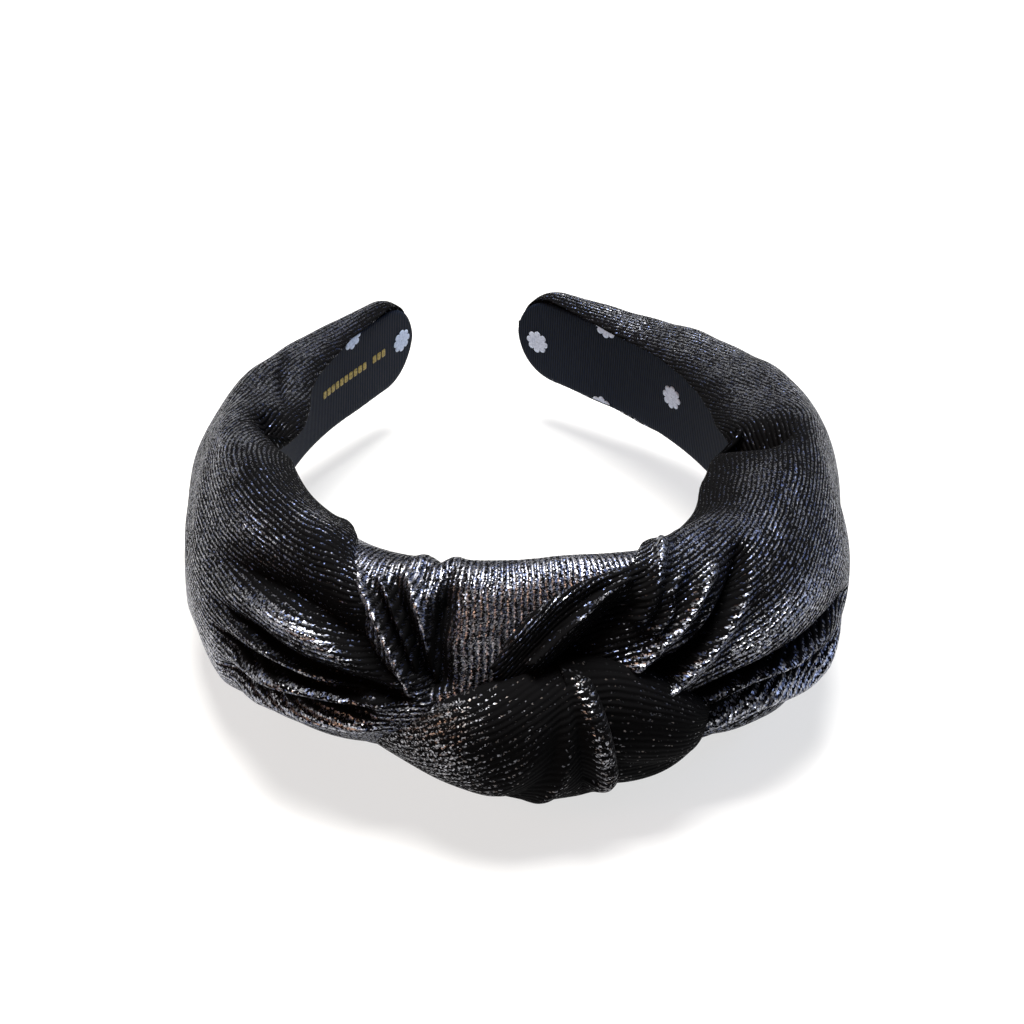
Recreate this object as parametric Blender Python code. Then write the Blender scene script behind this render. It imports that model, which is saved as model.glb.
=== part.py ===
"""A padded headband with a turban knot, lying on its side edge, as one solid for each piece.

Run it with: blender --background --python part.py

Every piece is worked out on the band laid straight and is then bent round the head:
  s runs along the plastic core from the middle of the crown, and is negative on the left arm;
  n runs outwards from the middle of the core's thickness;
  z is up, across the width of the core, from the surface that the band lies on.
Sizes are in millimetres. The knot faces -Y and the tips point to +Y.
"""

import math

import bmesh
import bpy
import numpy as np

MILLIMETRE = 0.001

# The core's line seen from above, from the middle of the crown to one tip.
CROWN_RADIUS = 71.0
CROWN_TURN = math.radians(28.0)
SHOULDER_RADIUS = 59.0
SHOULDER_TURN = math.radians(62.0)
SIDE_RADIUS = 98.0
SIDE_TURN = math.radians(42.3)
TIP_STRAIGHT = 32.0

# The plastic core and what is stuck on it.
CORE_WIDTH = 25.0
CORE_THICKNESS = 1.8
CORE_EDGE = 0.4
CORE_HEIGHT = 28.6
FOAM_THICKNESS = 3.2
FOAM_CROWN_FALL = 2.0
TAPE_THICKNESS = 0.6
TAPE_WIDTH = 10.0
LINING_WIDTH = CORE_WIDTH - 0.6
LINING_THICKNESS = 0.7
LINING_SEAT = 0.45
FABRIC = 0.8
GAP = 0.3
HEM_GAP = 0.5
WADDING_GAP = 1.0

# The cover's section: how far it stands out, up, down and in over the lining, by share of the half.
SHARES = (0.0, 0.2, 0.4, 0.6, 0.82, 1.0)
STANDS_OUT = (19.0, 27.5, 16.5, 12.5, 9.5, 4.4)
STANDS_UP = (27.5, 26.0, 30.5, 23.0, CORE_WIDTH / 2 + 3.5, CORE_WIDTH / 2 + 1.6)
STANDS_DOWN = (19.5, 26.0, 31.0, 22.0, CORE_WIDTH / 2 + 3.1, CORE_WIDTH / 2 + 1.6)
STANDS_IN = (1.0, 5.0, 7.0, 3.0, 0.6, 0.0)
HEM_WIDTH = 6.0
PLEAT_DEPTH = 1.6
PLEAT_COUNT = 5
PLEATS_END = 82.0

# The two places where the core is taken to bend, and the wedge left open there on the outside.
BEND_AT = 44.0
BEND_GAP = 0.5
WEDGE_OUT = math.radians(10.6)
WEDGE_IN = math.radians(2.6)

# Share of the section's way round that lies on the back of the core and turns over its edge.
EDGE_SHARE = 0.09

# Soft filling stops short of the tips.
FOAM_END = 30.0
WADDING_END = 48.0
TAPE_END = 16.0

# The knot, on the front of the crown. Its places round the section are shares of the cover's way
# round from the upper hem to the lower hem.
PANEL_SHARE = 0.47
KNOT_LEFT = 32.0
KNOT_RIGHT = 22.0
KNOT_TOP = 0.43
KNOT_BOTTOM = 0.86
KNOT_CORNER = 0.58
KNOT_SPLIT_TOP = 2.0
KNOT_SPLIT_BOTTOM = 11.0
KNOT_HEIGHT = 14.0
KNOT_FALL = 0.3
KNOT_RIDGES = 3
RIDGE_HEIGHT = 1.2
KNOT_RIM = 1.1
KNOT_SEAT = 0.8

HALF_LENGTH = (
    CROWN_RADIUS * CROWN_TURN
    + SHOULDER_RADIUS * SHOULDER_TURN
    + SIDE_RADIUS * SIDE_TURN
    + TIP_STRAIGHT
)
CORE_OUT = CORE_THICKNESS / 2
HEM_IN = CORE_OUT + HEM_GAP
HEM_OUT = HEM_IN + FABRIC
TIP_CENTRE = HALF_LENGTH - CORE_WIDTH / 2


def clear_scene():
    for obj in list(bpy.data.objects):
        bpy.data.objects.remove(obj, do_unlink=True)


def finish(name, colour, roughness):
    """A plain Principled material in the piece's own colour."""
    material = bpy.data.materials.new(name)
    material.use_nodes = True
    shader = material.node_tree.nodes["Principled BSDF"]
    shader.inputs["Base Color"].default_value = (*colour, 1.0)
    shader.inputs["Roughness"].default_value = roughness
    shader.inputs["Metallic"].default_value = 0.0
    return material


# ---- The band's line and its section --------------------------------------------------------


def core_line(s):
    """x, y and heading of the core's line at distances s from the middle of the crown."""
    x = np.zeros_like(s)
    y = np.zeros_like(s)
    heading = np.zeros_like(s)
    start, turned = 0.0, 0.0
    for radius, turn in (
        (CROWN_RADIUS, CROWN_TURN),
        (SHOULDER_RADIUS, SHOULDER_TURN),
        (SIDE_RADIUS, SIDE_TURN),
    ):
        angle = np.clip((s - start) / radius, 0.0, turn)
        x += radius * (np.sin(turned + angle) - math.sin(turned))
        y -= radius * (np.cos(turned + angle) - math.cos(turned))
        heading += angle
        start += radius * turn
        turned += turn
    straight = np.maximum(s - start, 0.0)
    return x + straight * math.cos(turned), y + straight * math.sin(turned), heading


def bend(grid):
    """The places in the room, in metres, of points given as (s, n, z)."""
    s, n, z = grid[..., 0], grid[..., 1], grid[..., 2]
    side = np.where(s < 0, -1.0, 1.0)
    x, y, heading = core_line(np.abs(s))
    placed = np.stack([side * (x + n * np.sin(heading)), y - n * np.cos(heading), z], axis=-1)
    return placed * MILLIMETRE


def section_size(sizes, s):
    """A size of the section at distances s, run smoothly through its values at SHARES."""
    at = np.array(SHARES) * HALF_LENGTH
    values = np.array(sizes)
    slopes = np.gradient(values, at)
    slopes[0] = 0.0
    s = np.clip(np.abs(s), 0.0, HALF_LENGTH)
    i = np.clip(np.searchsorted(at, s) - 1, 0, len(at) - 2)
    step = at[i + 1] - at[i]
    t = (s - at[i]) / step
    return (
        values[i] * (1 + 2 * t) * (1 - t) ** 2
        + slopes[i] * step * t * (1 - t) ** 2
        + values[i + 1] * t**2 * (3 - 2 * t)
        + slopes[i + 1] * step * t**2 * (t - 1)
    )


def tip_share(s):
    """How wide the rounded tip still is at distances s, as a share of the full width."""
    past = np.clip((np.abs(s) - TIP_CENTRE) / (CORE_WIDTH / 2), 0.0, 1.0)
    return np.sqrt(1.0 - past**2)


def section(s, depth, shares):
    """(n, z) of the cover's section, `depth` under its outside, at rows s and shares of its way round."""
    tip = tip_share(s)
    hem = HEM_OUT - depth
    out = HEM_OUT + (section_size(STANDS_OUT, s) - HEM_OUT) * tip - depth
    up = (section_size(STANDS_UP, s) - depth) * tip
    down = (section_size(STANDS_DOWN, s) - depth) * tip
    over = section_size(STANDS_IN, s) * tip
    edge = (CORE_WIDTH / 2 + 2 * GAP) * tip
    hem_edge = HEM_WIDTH * tip
    half = [
        (-hem + 0 * tip, hem_edge / up),
        (-hem + 0 * tip, edge / up),
        (-hem - over, (edge / up + 1.0) / 2),
        (0.15 * out, 1.0 + 0 * tip),
        (0.62 * out, 1.0 - 0.4 * np.minimum(out / up, 0.4)),
        (out, 0.24 + 0 * tip),
    ]
    upper = [(n, share * up) for n, share in half]
    lower = [(n, -share * up) for n, share in half[:2]]
    lower += [(n, -share * down) for n, share in half[2:]]
    knots = np.array([np.stack(p, -1) for p in upper + lower[::-1]]).transpose(1, 0, 2)
    return np.stack([along_curve(row, shares) for row in knots])


def along_curve(knots, shares):
    """Points at shares of the length of a curve through the knots, straight only in its two hems."""
    inner = knots[1:-1]
    ends = np.vstack([2 * inner[0] - inner[1], inner, 2 * inner[-1] - inner[-2]])
    t = np.linspace(0.0, 1.0, 9)[:-1, None]
    pieces = []
    for a, b, c, d in zip(ends[:-3], ends[1:-2], ends[2:-1], ends[3:]):
        pieces.append(
            b + 0.5 * t * (c - a + t * (2 * a - 5 * b + 4 * c - d + t * (3 * (b - c) + d - a)))
        )
    curve = np.vstack([knots[:1]] + pieces + [knots[-2:]])
    way = np.concatenate([[0.0], np.cumsum(np.linalg.norm(np.diff(curve, axis=0), axis=1))])
    wanted = np.asarray(shares) * way[-1]
    return np.stack([np.interp(wanted, way, curve[:, k]) for k in range(2)], axis=-1)


def way_round(start, end, count):
    """Shares of the section's way round, closer together where the cover turns over the core's edge."""
    even = np.linspace(max(start, EDGE_SHARE), min(end, 1.0 - EDGE_SHARE), count)
    turn = np.linspace(0.0, EDGE_SHARE, 4, endpoint=False)
    parts = [turn] * (start == 0.0) + [even] + [1.0 - turn[::-1]] * (end == 1.0)
    return np.concatenate(parts)


def outward(points):
    """Unit normals of section rows, pointing out of the cover."""
    run = np.gradient(points, axis=1)
    normal = np.stack([-run[..., 1], run[..., 0]], axis=-1)
    return normal / np.linalg.norm(normal, axis=-1, keepdims=True)


def pleat_reach(s):
    """The deepest that the pleats go at distances s."""
    return PLEAT_DEPTH * np.clip((PLEATS_END - np.abs(s)) / (PLEATS_END - BEND_AT), 0.0, 1.0)


def pleat_dip(s, shares):
    """How deep the gathered cover is drawn in between its pleats, fading away from the knot."""
    window = np.clip((shares - 0.3) / 0.1, 0.0, 1.0) * np.clip((0.9 - shares) / 0.1, 0.0, 1.0)
    wave = 0.5 - 0.5 * np.cos(2 * math.pi * PLEAT_COUNT * (shares - 0.3) / 0.6)
    return pleat_reach(s)[:, None] * (window * wave)[None, :]


def bend_clearance(n):
    """How far a piece stops short of the bend, by its distance n out of the core."""
    out = np.maximum(n, 0.0) * math.tan(WEDGE_OUT)
    inside = np.maximum(-n, 0.0) * math.tan(WEDGE_IN)
    return BEND_GAP / 2 + (out + inside) * SHOULDER_RADIUS / (SHOULDER_RADIUS + n)


# ---- Solids ----------------------------------------------------------------------------------


def solid(name, face, back, material):
    """One closed solid between two grids of (s, n, z): `face` on the outside and `back` behind it."""
    rows, columns = face.shape[:2]
    places = np.concatenate([bend(face).reshape(-1, 3), bend(back).reshape(-1, 3)])
    front = np.arange(rows * columns).reshape(rows, columns)
    behind = front + rows * columns

    def strip(a, b):
        return np.stack([a[:-1], a[1:], b[1:], b[:-1]], axis=-1).reshape(-1, 4)

    def sheet(g):
        return np.stack([g[:-1, :-1], g[1:, :-1], g[1:, 1:], g[:-1, 1:]], axis=-1).reshape(-1, 4)

    faces = np.concatenate(
        [
            sheet(front),
            sheet(behind)[:, ::-1],
            strip(front[0], behind[0]),
            strip(front[-1], behind[-1])[:, ::-1],
            strip(front[:, 0], behind[:, 0])[:, ::-1],
            strip(front[:, -1], behind[:, -1]),
        ]
    )
    mesh = bpy.data.meshes.new(name)
    mesh.from_pydata(places.tolist(), [], faces.tolist())
    work = bmesh.new()
    work.from_mesh(mesh)
    bmesh.ops.recalc_face_normals(work, faces=work.faces)
    work.to_mesh(mesh)
    work.free()
    mesh.polygons.foreach_set("use_smooth", [True] * len(mesh.polygons))
    mesh.set_sharp_from_angle(angle=math.radians(50))
    mesh.materials.append(material)
    obj = bpy.data.objects.new(name, mesh)
    bpy.context.scene.collection.objects.link(obj)
    return obj


def rows_to(end, count, start=BEND_AT):
    return np.linspace(start, end, count)


def rows_to_tip(end, radius, body, round_rows):
    """Rows from the bend to a rounded tip of this radius: `body` even ones, then some round the tip."""
    turn = np.linspace(0.0, math.radians(86.0), round_rows)[1:]
    nominal = np.concatenate([rows_to(TIP_CENTRE, body), TIP_CENTRE + CORE_WIDTH / 2 * np.sin(turn)])
    real = np.concatenate([rows_to(TIP_CENTRE, body), TIP_CENTRE + radius * np.sin(turn)])
    return nominal, np.minimum(real, end)


def arm_grid(real, n, z):
    """(s, n, z) of an arm piece on the right side, stopping short of the bend by its wedge."""
    left = (HALF_LENGTH - real) / (HALF_LENGTH - BEND_AT)
    s = real[:, None] + bend_clearance(n) * np.clip(left, 0.0, 1.0)[:, None]
    return np.stack([s, n, z], axis=-1)


def crown_grid(share, n, z):
    """(s, n, z) of a crown piece whose rows are shares of the way from the middle to each bend."""
    s = share[:, None] * (BEND_AT - bend_clearance(n))
    return np.stack([s, n, z], axis=-1)


def mirrored(grid, side):
    return grid * np.array([side, 1.0, 1.0])


def on_floor(z, lift):
    """Heights in the room of section heights, flattened where the band rests on the floor."""
    return np.maximum(z + CORE_HEIGHT, lift)


# ---- Strips: core, foam, tape and lining -----------------------------------------------------


def strip_sides(rows, profile, tip, heights):
    """n and z grids of a strip whose profile is (z, n) across its width."""
    across = np.array([z for z, _ in profile])
    n = np.broadcast_to(np.array([n for _, n in profile]), (rows, len(profile)))
    return n * heights[:, None], across[None, :] * tip[:, None] + CORE_HEIGHT


def core_profile(sign):
    half = CORE_WIDTH / 2
    inner = CORE_OUT - CORE_EDGE
    return [
        (-half, sign * inner),
        (-half + CORE_EDGE, sign * CORE_OUT),
        (half - CORE_EDGE, sign * CORE_OUT),
        (half, sign * inner),
    ]


def flat_profile(width, n):
    half = width / 2
    return [(-half, n), (-half + CORE_EDGE, n), (half - CORE_EDGE, n), (half, n)]


def foam_height(z):
    """Top of the foam strip above the core's middle, crowned across its width."""
    fall = FOAM_CROWN_FALL * (2 * z / CORE_WIDTH) ** 2
    return CORE_OUT + GAP + FOAM_THICKNESS - fall


def foam_profile():
    across = np.linspace(-CORE_WIDTH / 2, CORE_WIDTH / 2, 7)
    return list(zip(across, foam_height(across)))


def foam_back_profile():
    across = np.linspace(-CORE_WIDTH / 2, CORE_WIDTH / 2, 7)
    return [(z, CORE_OUT + GAP) for z in across]


def arm_strip(name, side, rows, face, back, material):
    """A strip on one arm, from the bend to the end of its rows."""
    nominal, real = rows
    tip = tip_share(nominal)
    same = np.ones_like(tip)
    grids = [
        mirrored(arm_grid(real, *strip_sides(len(real), profile, tip, same)), side)
        for profile in (face, back)
    ]
    return solid(name, *grids, material)


def crown_strip(name, face, back, material, count=13):
    share = np.linspace(-1.0, 1.0, count)
    same = np.ones_like(share)
    grids = [crown_grid(share, *strip_sides(count, profile, same, same)) for profile in (face, back)]
    return solid(name, *grids, material)


def lining_profiles():
    face = -(HEM_OUT + LINING_SEAT)
    back = face - LINING_THICKNESS
    return flat_profile(LINING_WIDTH, face), flat_profile(LINING_WIDTH, back)


def tape_profiles():
    face = -(CORE_OUT + GAP)
    return flat_profile(TAPE_WIDTH, face), flat_profile(TAPE_WIDTH, face - TAPE_THICKNESS)


def build_core(material):
    face, back = core_profile(1), core_profile(-1)
    crown_strip("core_crown", face, back, material)
    for word, side in SIDES:
        rows = rows_to_tip(HALF_LENGTH, CORE_WIDTH / 2, 18, 9)
        arm_strip(f"core_{word}_arm", side, rows, face, back, material)


def build_foam(material):
    face, back = foam_profile(), foam_back_profile()
    crown_strip("foam_crown", face, back, material)
    rows = rows_to(HALF_LENGTH - FOAM_END, 16)
    for word, side in SIDES:
        arm_strip(f"foam_{word}_arm", side, (rows, rows), face, back, material)


def build_tape(material):
    face, back = tape_profiles()
    crown_strip("tape_crown", face, back, material)
    rows = rows_to(HALF_LENGTH - TAPE_END, 16)
    for word, side in SIDES:
        arm_strip(f"tape_{word}_arm", side, (rows, rows), face, back, material)


def build_lining(material):
    face, back = lining_profiles()
    crown_strip("lining_crown", face, back, material)
    for word, side in SIDES:
        rows = rows_to_tip(HALF_LENGTH, LINING_WIDTH / 2, 18, 9)
        arm_strip(f"lining_{word}_arm", side, rows, face, back, material)


# ---- Covers and wadding ----------------------------------------------------------------------


def cover_sides(s, shares):
    """(n, z) grids of the outside and the inside of the cover, with its pleats."""
    grids = []
    for depth in (0.0, FABRIC):
        points = section(s, depth, shares)
        points = points - outward(points) * pleat_dip(s, shares)[..., None]
        grids.append((points[..., 0], on_floor(points[..., 1], depth)))
    return grids


def build_sleeve(word, side, material):
    """The puffed sleeve of one arm, open at the bend and along the lining, closed round the tip."""
    shares = way_round(0.0, 1.0, 21)
    grids = []
    for radius, (n, z) in zip(
        (section_size(STANDS_UP, np.array(HALF_LENGTH)), section_size(STANDS_UP, np.array(HALF_LENGTH)) - FABRIC),
        cover_sides(rows_to_tip(HALF_LENGTH, CORE_WIDTH / 2, 19, 7)[0], shares),
    ):
        real = rows_to_tip(math.inf, float(radius), 19, 7)[1]
        grids.append(mirrored(arm_grid(real, n, z), side))
    solid(f"sleeve_{word}", *grids, material)


def build_crown_covers(panel_material, gather_material):
    """The panel over the top of the crown and the gathered cover under it, on each side of the knot."""
    seam = GAP / 60.0
    panel = way_round(0.0, PANEL_SHARE - seam, 10)
    lower = way_round(PANEL_SHARE + seam, 1.0, 14)
    share = np.linspace(-1.0, 1.0, 15)
    grids = [crown_grid(share, n, z) for n, z in cover_sides(share * BEND_AT, panel)]
    solid("crown_panel", *grids, panel_material)
    share = np.linspace(GAP / BEND_AT, 1.0, 8)
    for word, side in SIDES:
        grids = [crown_grid(share, n, z) for n, z in cover_sides(share * BEND_AT, lower)]
        solid(f"gather_{word}", *[mirrored(grid, side) for grid in grids], gather_material)


def wadding_sides(s, columns):
    """(n, z) grids of the wadding between the cover and the foam."""
    depth = FABRIC + WADDING_GAP + pleat_reach(s)
    fine = section(s, depth, np.linspace(0.0, 1.0, 241))
    floor = CORE_OUT + 2 * GAP
    face = []
    for row in fine:
        above = np.nonzero(row[:, 0] > floor + GAP)[0]
        pick = np.linspace(above[0], above[-1], columns)
        face.append([np.interp(pick, np.arange(len(row)), row[:, k]) for k in range(2)])
    face = np.array(face).transpose(0, 2, 1)
    across = face[..., 1]
    back = np.where(np.abs(across) < CORE_WIDTH / 2, foam_height(across) + 2 * GAP, floor)
    near_edge = np.clip((CORE_WIDTH / 2 + 4.0 - np.abs(across)) / 4.0, 0.0, 1.0)
    edge_top = foam_height(CORE_WIDTH / 2) + 2 * GAP
    back = np.where(np.abs(across) < CORE_WIDTH / 2, back, floor + (edge_top - floor) * near_edge)
    back = np.minimum(back, face[..., 0] - GAP / 2)
    z = on_floor(across, FABRIC + WADDING_GAP)
    return (face[..., 0], z), (back, z)


def build_wadding(material):
    share = np.linspace(-1.0, 1.0, 11)
    grids = [crown_grid(share, n, z) for n, z in wadding_sides(share * BEND_AT, 13)]
    solid("wadding_crown", *grids, material)
    rows = rows_to(HALF_LENGTH - WADDING_END, 15)
    for word, side in SIDES:
        grids = [mirrored(arm_grid(rows, n, z), side) for n, z in wadding_sides(rows, 13)]
        solid(f"wadding_{word}_arm", *grids, material)


# ---- Knot ------------------------------------------------------------------------------------


def dome(t, power=0.6):
    """0 at both ends of 0..1 and 1 in the middle, with full shoulders."""
    return np.clip(1.0 - (2.0 * t - 1.0) ** 2, 0.0, 1.0) ** power


def knot_place(s, across):
    """Outside of the crown's cover under the knot: (n, z) and normal at each (s, share)."""
    points = np.empty(s.shape + (2,))
    normals = np.empty_like(points)
    fine = np.linspace(0.0, 1.0, 201)
    for index, here in np.ndenumerate(s):
        row = section(np.array([here]), 0.0, fine)
        normal = outward(row)
        for k in range(2):
            points[index + (k,)] = np.interp(across[index], fine, row[0, :, k])
            normals[index + (k,)] = np.interp(across[index], fine, normal[0, :, k])
    return points, normals


def knot_layer(s, across, lift, floor=0.0):
    """(s, n, z) of a layer that stands `lift` proud of the crown's cover, no lower than `floor`."""
    points, normals = knot_place(s, across)
    raised = points + normals * lift[..., None]
    return np.stack([s, raised[..., 0], on_floor(raised[..., 1], floor)], axis=-1)


def wrap_domain(u, v):
    """Places of the wrap: u runs from its left corner to the split, v from its top to its bottom."""
    split = KNOT_SPLIT_TOP + (KNOT_SPLIT_BOTTOM - KNOT_SPLIT_TOP) * v
    s = -KNOT_LEFT + u * (split + KNOT_LEFT)
    top = KNOT_CORNER + (KNOT_TOP - KNOT_CORNER) * u**0.55
    bottom = KNOT_CORNER + 0.05 + (KNOT_BOTTOM - KNOT_CORNER - 0.05) * u**1.3
    return s, top + (bottom - top) * v


def wrap_lift(u, v):
    """How far the wrap stands out: a dome across it, rising from the corner, with slanted ridges."""
    rise = np.sin(np.minimum(u / 0.75, 1.0) * math.pi / 2)
    rise = rise * (1.0 - KNOT_FALL * np.clip((u - 0.75) / 0.25, 0.0, 1.0) ** 2)
    ridge = RIDGE_HEIGHT * np.sin(2 * math.pi * KNOT_RIDGES * (v + 0.25 * u)) * dome(v) * rise
    return KNOT_RIM + (KNOT_HEIGHT - KNOT_RIM) * rise * dome(v) + ridge


def lobe_domain(u, v):
    """Places of the lobe: u runs from the split to its right end."""
    split = KNOT_SPLIT_TOP + (KNOT_SPLIT_BOTTOM - KNOT_SPLIT_TOP) * v + 2 * GAP
    s = split + u * (KNOT_RIGHT - split)
    close = 1.0 - u**2.2
    top = KNOT_CORNER + (KNOT_TOP + 0.03 - KNOT_CORNER) * (0.3 + 0.7 * close)
    bottom = KNOT_CORNER + (KNOT_BOTTOM - KNOT_CORNER) * (0.3 + 0.7 * close)
    return s, top + (bottom - top) * v


def lobe_lift(u, v):
    height = (1.0 - KNOT_FALL) * KNOT_HEIGHT
    return KNOT_RIM + (height - KNOT_RIM) * np.sqrt(1.0 - 0.96 * u**2) * dome(v)


def build_knot(wrap_material, wadding_material):
    u, v = np.meshgrid(np.linspace(0.02, 1.0, 15), np.linspace(0.0, 1.0, 17), indexing="ij")
    place, lift = wrap_domain(u, v), wrap_lift(u, v)
    outside = knot_layer(*place, KNOT_SEAT + lift)
    inside = knot_layer(*place, KNOT_SEAT + lift - FABRIC, FABRIC)
    solid("knot_wrap", outside, inside, wrap_material)
    u, v = np.meshgrid(np.linspace(0.0, 1.0, 9), np.linspace(0.0, 1.0, 11), indexing="ij")
    place, lift = lobe_domain(u, v), lobe_lift(u, v)
    outside = knot_layer(*place, KNOT_SEAT + lift)
    inside = knot_layer(*place, KNOT_SEAT + 0 * lift, FABRIC)
    solid("knot_lobe", outside, inside, wrap_material)
    u, v = np.meshgrid(np.linspace(0.2, 0.97, 9), np.linspace(0.1, 0.9, 11), indexing="ij")
    place, lift = wrap_domain(u, v), wrap_lift(u, v)
    floor = FABRIC + GAP
    outside = knot_layer(*place, KNOT_SEAT + lift - FABRIC - RIDGE_HEIGHT, floor)
    inside = knot_layer(*place, KNOT_SEAT + 0 * lift, floor + GAP)
    solid("knot_wadding", outside, inside, wadding_material)


# ---- The whole -------------------------------------------------------------------------------


def centre_on_floor():
    """Moves the band so that its box stands on the floor with the middle of its base at the origin."""
    meshes = [obj.data for obj in bpy.context.scene.objects]
    boxes = []
    for mesh in meshes:
        places = np.empty(len(mesh.vertices) * 3)
        mesh.vertices.foreach_get("co", places)
        boxes.append(places.reshape(-1, 3))
    low = np.min([b.min(axis=0) for b in boxes], axis=0)
    high = np.max([b.max(axis=0) for b in boxes], axis=0)
    shift = np.array([(low[0] + high[0]) / 2, (low[1] + high[1]) / 2, low[2]])
    for mesh, places in zip(meshes, boxes):
        mesh.vertices.foreach_set("co", (places - shift).reshape(-1))
        mesh.update()


SIDES = (("left", -1.0), ("right", 1.0))


def main():
    clear_scene()
    build_core(finish("core_black_abs", (0.012, 0.012, 0.013), 0.45))
    build_foam(finish("foam_grey", (0.30, 0.30, 0.31), 0.95))
    build_tape(finish("tape_clear_amber", (0.45, 0.40, 0.28), 0.5))
    build_lining(finish("lining_navy_grosgrain", (0.008, 0.011, 0.020), 0.7))
    cover = finish("cover_black_lurex", (0.012, 0.012, 0.014), 0.75)
    for word, side in SIDES:
        build_sleeve(word, side, cover)
    panel = finish("panel_black_lurex", (0.016, 0.016, 0.018), 0.7)
    build_crown_covers(panel, cover)
    wadding = finish("wadding_white", (0.80, 0.80, 0.78), 0.95)
    build_wadding(wadding)
    build_knot(finish("knot_black_lurex", (0.010, 0.010, 0.012), 0.7), wadding)
    centre_on_floor()


main()
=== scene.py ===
"""Looks of a padded headband with a turban knot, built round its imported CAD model.

Every fabric piece is worked out on the band laid straight, and is then bent round the head:
s runs along the plastic core from the middle of the crown and is negative on the left arm,
n runs outwards from the middle of the core's thickness, and z is up. A place on the cover is
given by s and by its share of the way round the section, from the upper hem to the lower hem.
Sizes are in millimetres until a mesh is made.
"""

import logging
import math
from dataclasses import dataclass
from enum import Enum

import bpy
import numpy as np
from mathutils import Matrix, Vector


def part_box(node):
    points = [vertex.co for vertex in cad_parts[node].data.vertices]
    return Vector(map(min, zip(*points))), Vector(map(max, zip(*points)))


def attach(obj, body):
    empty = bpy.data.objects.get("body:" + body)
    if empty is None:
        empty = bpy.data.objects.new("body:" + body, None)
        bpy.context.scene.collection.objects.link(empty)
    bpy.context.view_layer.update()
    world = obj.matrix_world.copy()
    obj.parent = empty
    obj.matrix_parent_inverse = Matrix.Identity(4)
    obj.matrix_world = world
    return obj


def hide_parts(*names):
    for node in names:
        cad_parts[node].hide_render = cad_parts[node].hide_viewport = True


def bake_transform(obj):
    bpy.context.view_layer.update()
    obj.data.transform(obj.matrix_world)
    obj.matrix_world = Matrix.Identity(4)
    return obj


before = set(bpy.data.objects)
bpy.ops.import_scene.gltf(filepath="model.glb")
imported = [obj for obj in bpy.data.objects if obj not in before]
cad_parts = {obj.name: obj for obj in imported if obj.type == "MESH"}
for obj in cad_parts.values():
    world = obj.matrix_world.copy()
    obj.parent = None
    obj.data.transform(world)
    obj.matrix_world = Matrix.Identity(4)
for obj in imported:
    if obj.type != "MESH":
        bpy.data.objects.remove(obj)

Array = np.ndarray
Pair = tuple[float, float]
Path = tuple[Pair, ...]
Place = tuple[float, float, float]

LOG = logging.getLogger("headband")
MILLIMETRE = 0.001
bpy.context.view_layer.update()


class Side(Enum):
    """The two arms, by their sign along x."""

    LEFT = -1
    RIGHT = 1

    @property
    def word(self) -> str:
        """The side's word in node and body names."""
        return self.name.lower()

    @property
    def body(self) -> str:
        """The CAD body of this side's arm."""
        return f"{self.word}_arm"


def smooth(x: Array) -> Array:
    """Runs 0 to 1 with level ends, from x = 0 to x = 1."""
    x = np.clip(x, 0.0, 1.0)
    return x * x * (3.0 - 2.0 * x)


def linear(code: str) -> tuple[float, float, float, float]:
    """Turns an sRGB hex colour into linear red, green, blue and alpha.

    Args:
        code: six hex digits.

    Returns:
        Linear values from 0 to 1, with alpha 1.
    """
    channels = (int(code[i : i + 2], 16) / 255.0 for i in (0, 2, 4))
    values = [c / 12.92 if c <= 0.04045 else ((c + 0.055) / 1.055) ** 2.4 for c in channels]
    return (values[0], values[1], values[2], 1.0)


def eased(z: Array, floor: float) -> Array:
    """Heights z, bent smoothly so that none passes under the floor."""
    z = z - floor
    return 0.5 * (z + np.sqrt(z * z + 0.5)) + floor


def curve_through(points: Array, steps: int) -> Array:
    """A smooth curve through points: each span is a cubic whose slopes come from its neighbours.

    Args:
        points: (rows, knots, dimensions).
        steps: points made in each span.

    Returns:
        (rows, (knots - 1) * steps + 1, dimensions).
    """
    first = 2 * points[:, :1] - points[:, 1:2]
    last = 2 * points[:, -1:] - points[:, -2:-1]
    p = np.concatenate([first, points, last], axis=1)
    a, b, c, d = (p[:, i : p.shape[1] - 3 + i, None, :] for i in range(4))
    t = np.linspace(0.0, 1.0, steps, endpoint=False)[None, None, :, None]
    spans = b + 0.5 * t * (c - a + t * (2 * a - 5 * b + 4 * c - d + t * (3 * (b - c) + d - a)))
    flat = spans.reshape(points.shape[0], -1, points.shape[2])
    return np.concatenate([flat, points[:, -1:]], axis=1)


# ---- The band's line and its section ---------------------------------------------------------


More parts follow.
